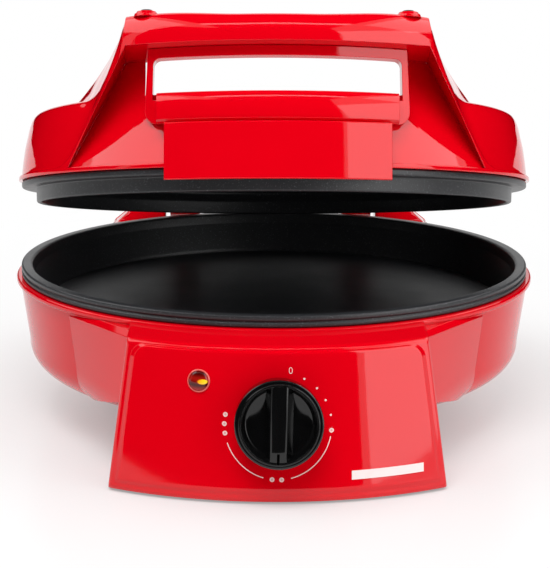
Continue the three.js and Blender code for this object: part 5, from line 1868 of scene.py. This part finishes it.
@dataclass
class Studio:
    """The camera, the floor, the lamps and the black cards that the gloss reflects, in metres."""

    hinge: Vector
    lens: float = 107.03
    sensor: float = 36.0
    yaw: float = math.radians(-0.894)
    dip: float = math.radians(12.828)
    roll: float = math.radians(0.225)
    offset: Triple = (-16.49, -1300.92, 232.64)
    soft_light: float = 0.24
    card_cells: tuple[int, int] = (24, 4)
    card_r: float = 1.7
    card_half: float = 0.85
    card_high: float = 1.8
    aim: Triple = (0.0, 0.0, 0.15)
    floor_half: float = 6.0
    floor_back: float = 3.5
    floor_paint: str = "F6F6F6"
    # tone and reach of the painted shadow that darkens the floor's white glow near the object
    shadow_tone: str = "C8C6C6"
    shadow_reach: float = 0.16

    def camera(self) -> None:
        """Sets the camera where the photograph was taken from."""
        data = bpy.data.cameras.new("photo_camera")
        data.lens = self.lens
        data.sensor_width = self.sensor
        data.clip_start = 0.05
        camera = linked("photo_camera", data)
        level = Vector((math.sin(self.yaw), -math.cos(self.yaw), 0))
        back = level * math.cos(self.dip) + Vector((0, 0, math.sin(self.dip)))
        right = (-back).cross(Vector((0, 0, 1))).normalized()
        up = right.cross(-back)
        across = right * math.cos(self.roll) + up * math.sin(self.roll)
        upward = -right * math.sin(self.roll) + up * math.cos(self.roll)
        turn = Matrix((across, upward, back)).transposed().to_4x4()
        camera.matrix_world = Matrix.Translation(self.hinge + Vector(self.offset) * MM) @ turn
        bpy.context.scene.camera = camera

    def world(self) -> None:
        """Makes the light all round: white behind the object and in its gloss, softer elsewhere."""
        world = bpy.data.worlds.new("pale_surroundings")
        bpy.context.scene.world = world
        tree = cleared(world)
        white = node(tree, "Background", {"Color": (1, 1, 1, 1), "Strength": 1.0})
        soft = node(tree, "Background", {"Color": (1, 1, 1, 1), "Strength": self.soft_light})
        mix = node(tree, "MixShader", {0: seen_rays(tree), 1: soft.outputs[0], 2: white.outputs[0]})
        node(tree, "OutputWorld", {"Surface": mix.outputs[0]})

    def wall(self, first: float, last: float, low: float, high: float) -> Spots:
        """Curves a card round the object.

        Args:
            first: Its first azimuth in degrees, from the front towards the right.
            last: Its last azimuth.
            low: Height of its foot.
            high: Height of its head.
        Returns:
            The place of a grid point from its column and row.
        """
        columns, rows = self.card_cells

        def place(i: int, k: int) -> Vector:
            """Returns one point of the card."""
            angle = math.radians(first + (last - first) * i / columns)
            out = Vector((math.sin(angle), -math.cos(angle), 0)) * self.card_r
            return out + Vector((0, 0, low + (high - low) * k / rows))

        return place

    def ceiling(self, first: float, last: float) -> Spots:
        """Lays a card flat overhead.

        Args:
            first: Where it starts along.
            last: Where it ends.
        Returns:
            The place of a grid point from its column and row.
        """
        columns, rows = self.card_cells

        def place(i: int, k: int) -> Vector:
            """Returns one point of the card."""
            across = self.card_half * (2 * i / columns - 1)
            return Vector((across, first + (last - first) * k / rows, self.card_high))

        return place

    def cards(self) -> None:
        """Stands black cards that the gloss alone sees, with gaps between for the softboxes."""
        cloth = bpy.data.materials.new("black_card_cloth")
        tree = cleared(cloth)
        dark = node(tree, "Emission", {"Color": (0, 0, 0, 1), "Strength": 0.0})
        node(tree, "OutputMaterial", {"Surface": dark.outputs["Emission"]})
        for name, place in (("front_card", self.wall(-64, 28, -0.3, 1.8)),
                            ("left_card", self.wall(-160, -70, 0.12, 1.05)),
                            ("right_card", self.wall(70, 160, 0.12, 1.05)),
                            ("front_ceiling_card", self.ceiling(-1.7, -0.86)),
                            ("rear_ceiling_card", self.ceiling(-0.70, 1.7))):
            card = Solid.grid(*self.card_cells, place).finish(name, Matrix.Identity(4))
            card.data.materials.append(cloth)
            card.visible_camera = False
            card.visible_diffuse = False
            card.visible_shadow = False
            card.visible_transmission = False

    def floor(self) -> None:
        """Lays the pale floor: white away from the object, with its shadow, partly cast and partly
        painted into its white glow near the object, and a faint gloss.
        """
        sheet = bmesh.new()
        bmesh.ops.create_grid(sheet, x_segments=1, y_segments=1, size=self.floor_half)
        floor = Solid(sheet).finish("studio_floor", Matrix.Translation((0, self.floor_back, 0)))
        made = bpy.data.materials.new("pale_floor")
        tree = cleared(made)
        near = node(tree, "Mapping", {"Vector": node(tree, "TexCoord").outputs["Object"],
                                      "Location": (0, 0.12, 0), "Scale": (1.25, 1.0, 1.0)})
        fade = node(tree, "TexGradient", {"Vector": near.outputs["Vector"]},
                    gradient_type="SPHERICAL")
        keep = node(tree, "MapRange", {"Value": fade.outputs["Fac"], "From Min": 0.18,
                                       "From Max": 0.72, "To Min": 0.0, "To Max": 0.45},
                    interpolation_type="SMOOTHSTEP")
        veil = node(tree, "Math", {0: 1.0, 1: keep.outputs["Result"]}, operation="SUBTRACT")
        share = node(tree, "Math", {0: veil.outputs[0], 1: seen_rays(tree)}, operation="MULTIPLY")
        matt = node(tree, "BsdfPrincipled", {"Base Color": linear(self.floor_paint),
                                             "Roughness": 0.3})
        # painted shadow: ambient occlusion darkens the white glow towards the shadow tone where the
        # object is near
        painted_shadow_mask = node(tree, "AmbientOcclusion", {"Distance": self.shadow_reach}, samples=8)
        pale = node(tree, "MixRGB", {"Fac": painted_shadow_mask.outputs["AO"], "Color1": linear(self.shadow_tone),
                                     "Color2": linear("FFFFFF")})
        white = node(tree, "Emission", {"Color": pale.outputs["Color"], "Strength": 1.0})
        mix = node(tree, "MixShader", {0: share.outputs[0], 1: matt.outputs[0],
                                       2: white.outputs[0]})
        node(tree, "OutputMaterial", {"Surface": mix.outputs[0]})
        floor.data.materials.append(made)

    def softbox(self, name: str, power: float, size: Pair, place: Triple,
                glossy: bool = True) -> None:
        """Hangs one softbox that points at the object.

        Args:
            name: Its name.
            power: Its power in watts.
            size: Its width and height.
            place: Where it hangs.
            glossy: Whether the gloss shows it.
        """
        data = bpy.data.lights.new(name, "AREA")
        data.shape = "RECTANGLE"
        data.size, data.size_y = size
        data.energy = power
        made = linked(name, data)
        made.location = place
        made.rotation_euler = (Vector(self.aim) - Vector(place)).to_track_quat("-Z", "Y").to_euler()
        made.visible_glossy = glossy

    def build(self) -> None:
        """Sets up the whole studio."""
        bpy.context.scene.view_settings.view_transform = "Standard"
        self.camera()
        self.world()
        self.cards()
        self.floor()
        self.softbox("right_softbox", 11, (1.4, 1.4), (1.46, -1.22, 0.6))
        self.softbox("left_side_softbox", 8.5, (1.9, 0.9), (-1.35, 0.1, 1.5))
        self.softbox("right_side_softbox", 8.5, (1.9, 0.9), (1.35, 0.1, 1.5))
        self.softbox("overhead_softbox", 5, (1.7, 0.3), (0, -0.78, 1.85))
        self.softbox("front_fill", 33, (1.2, 1.2), (-0.3, -1.15, 1.95), glossy=False)


def main(frame: dict[str, object]) -> None:
    """Builds every sub-assembly around the frame.
    """
    hinge = Vector(next(j["pos_m"] for j in frame["joints"] if j["name"] == "lid_hinge"))
    places = Places(centre_y=hinge.y / MM - Places.hinge_y)
    bowl = BaseShell(places)
    box = ControlBox(places, bowl)
    lid = LidShell(places)
    parts = [Studio(hinge), Plates(places), bowl, box, Knob(places, box), lid,
             HandTrim(places, lid), RearHousing(places, bowl), SmallParts(places, frame)]
    for part in parts:
        part.build()
        LOG.info("built %s", type(part).__name__)


if __name__ == "__main__":
    logging.basicConfig(level=logging.INFO)
    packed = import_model()
    main(packed)
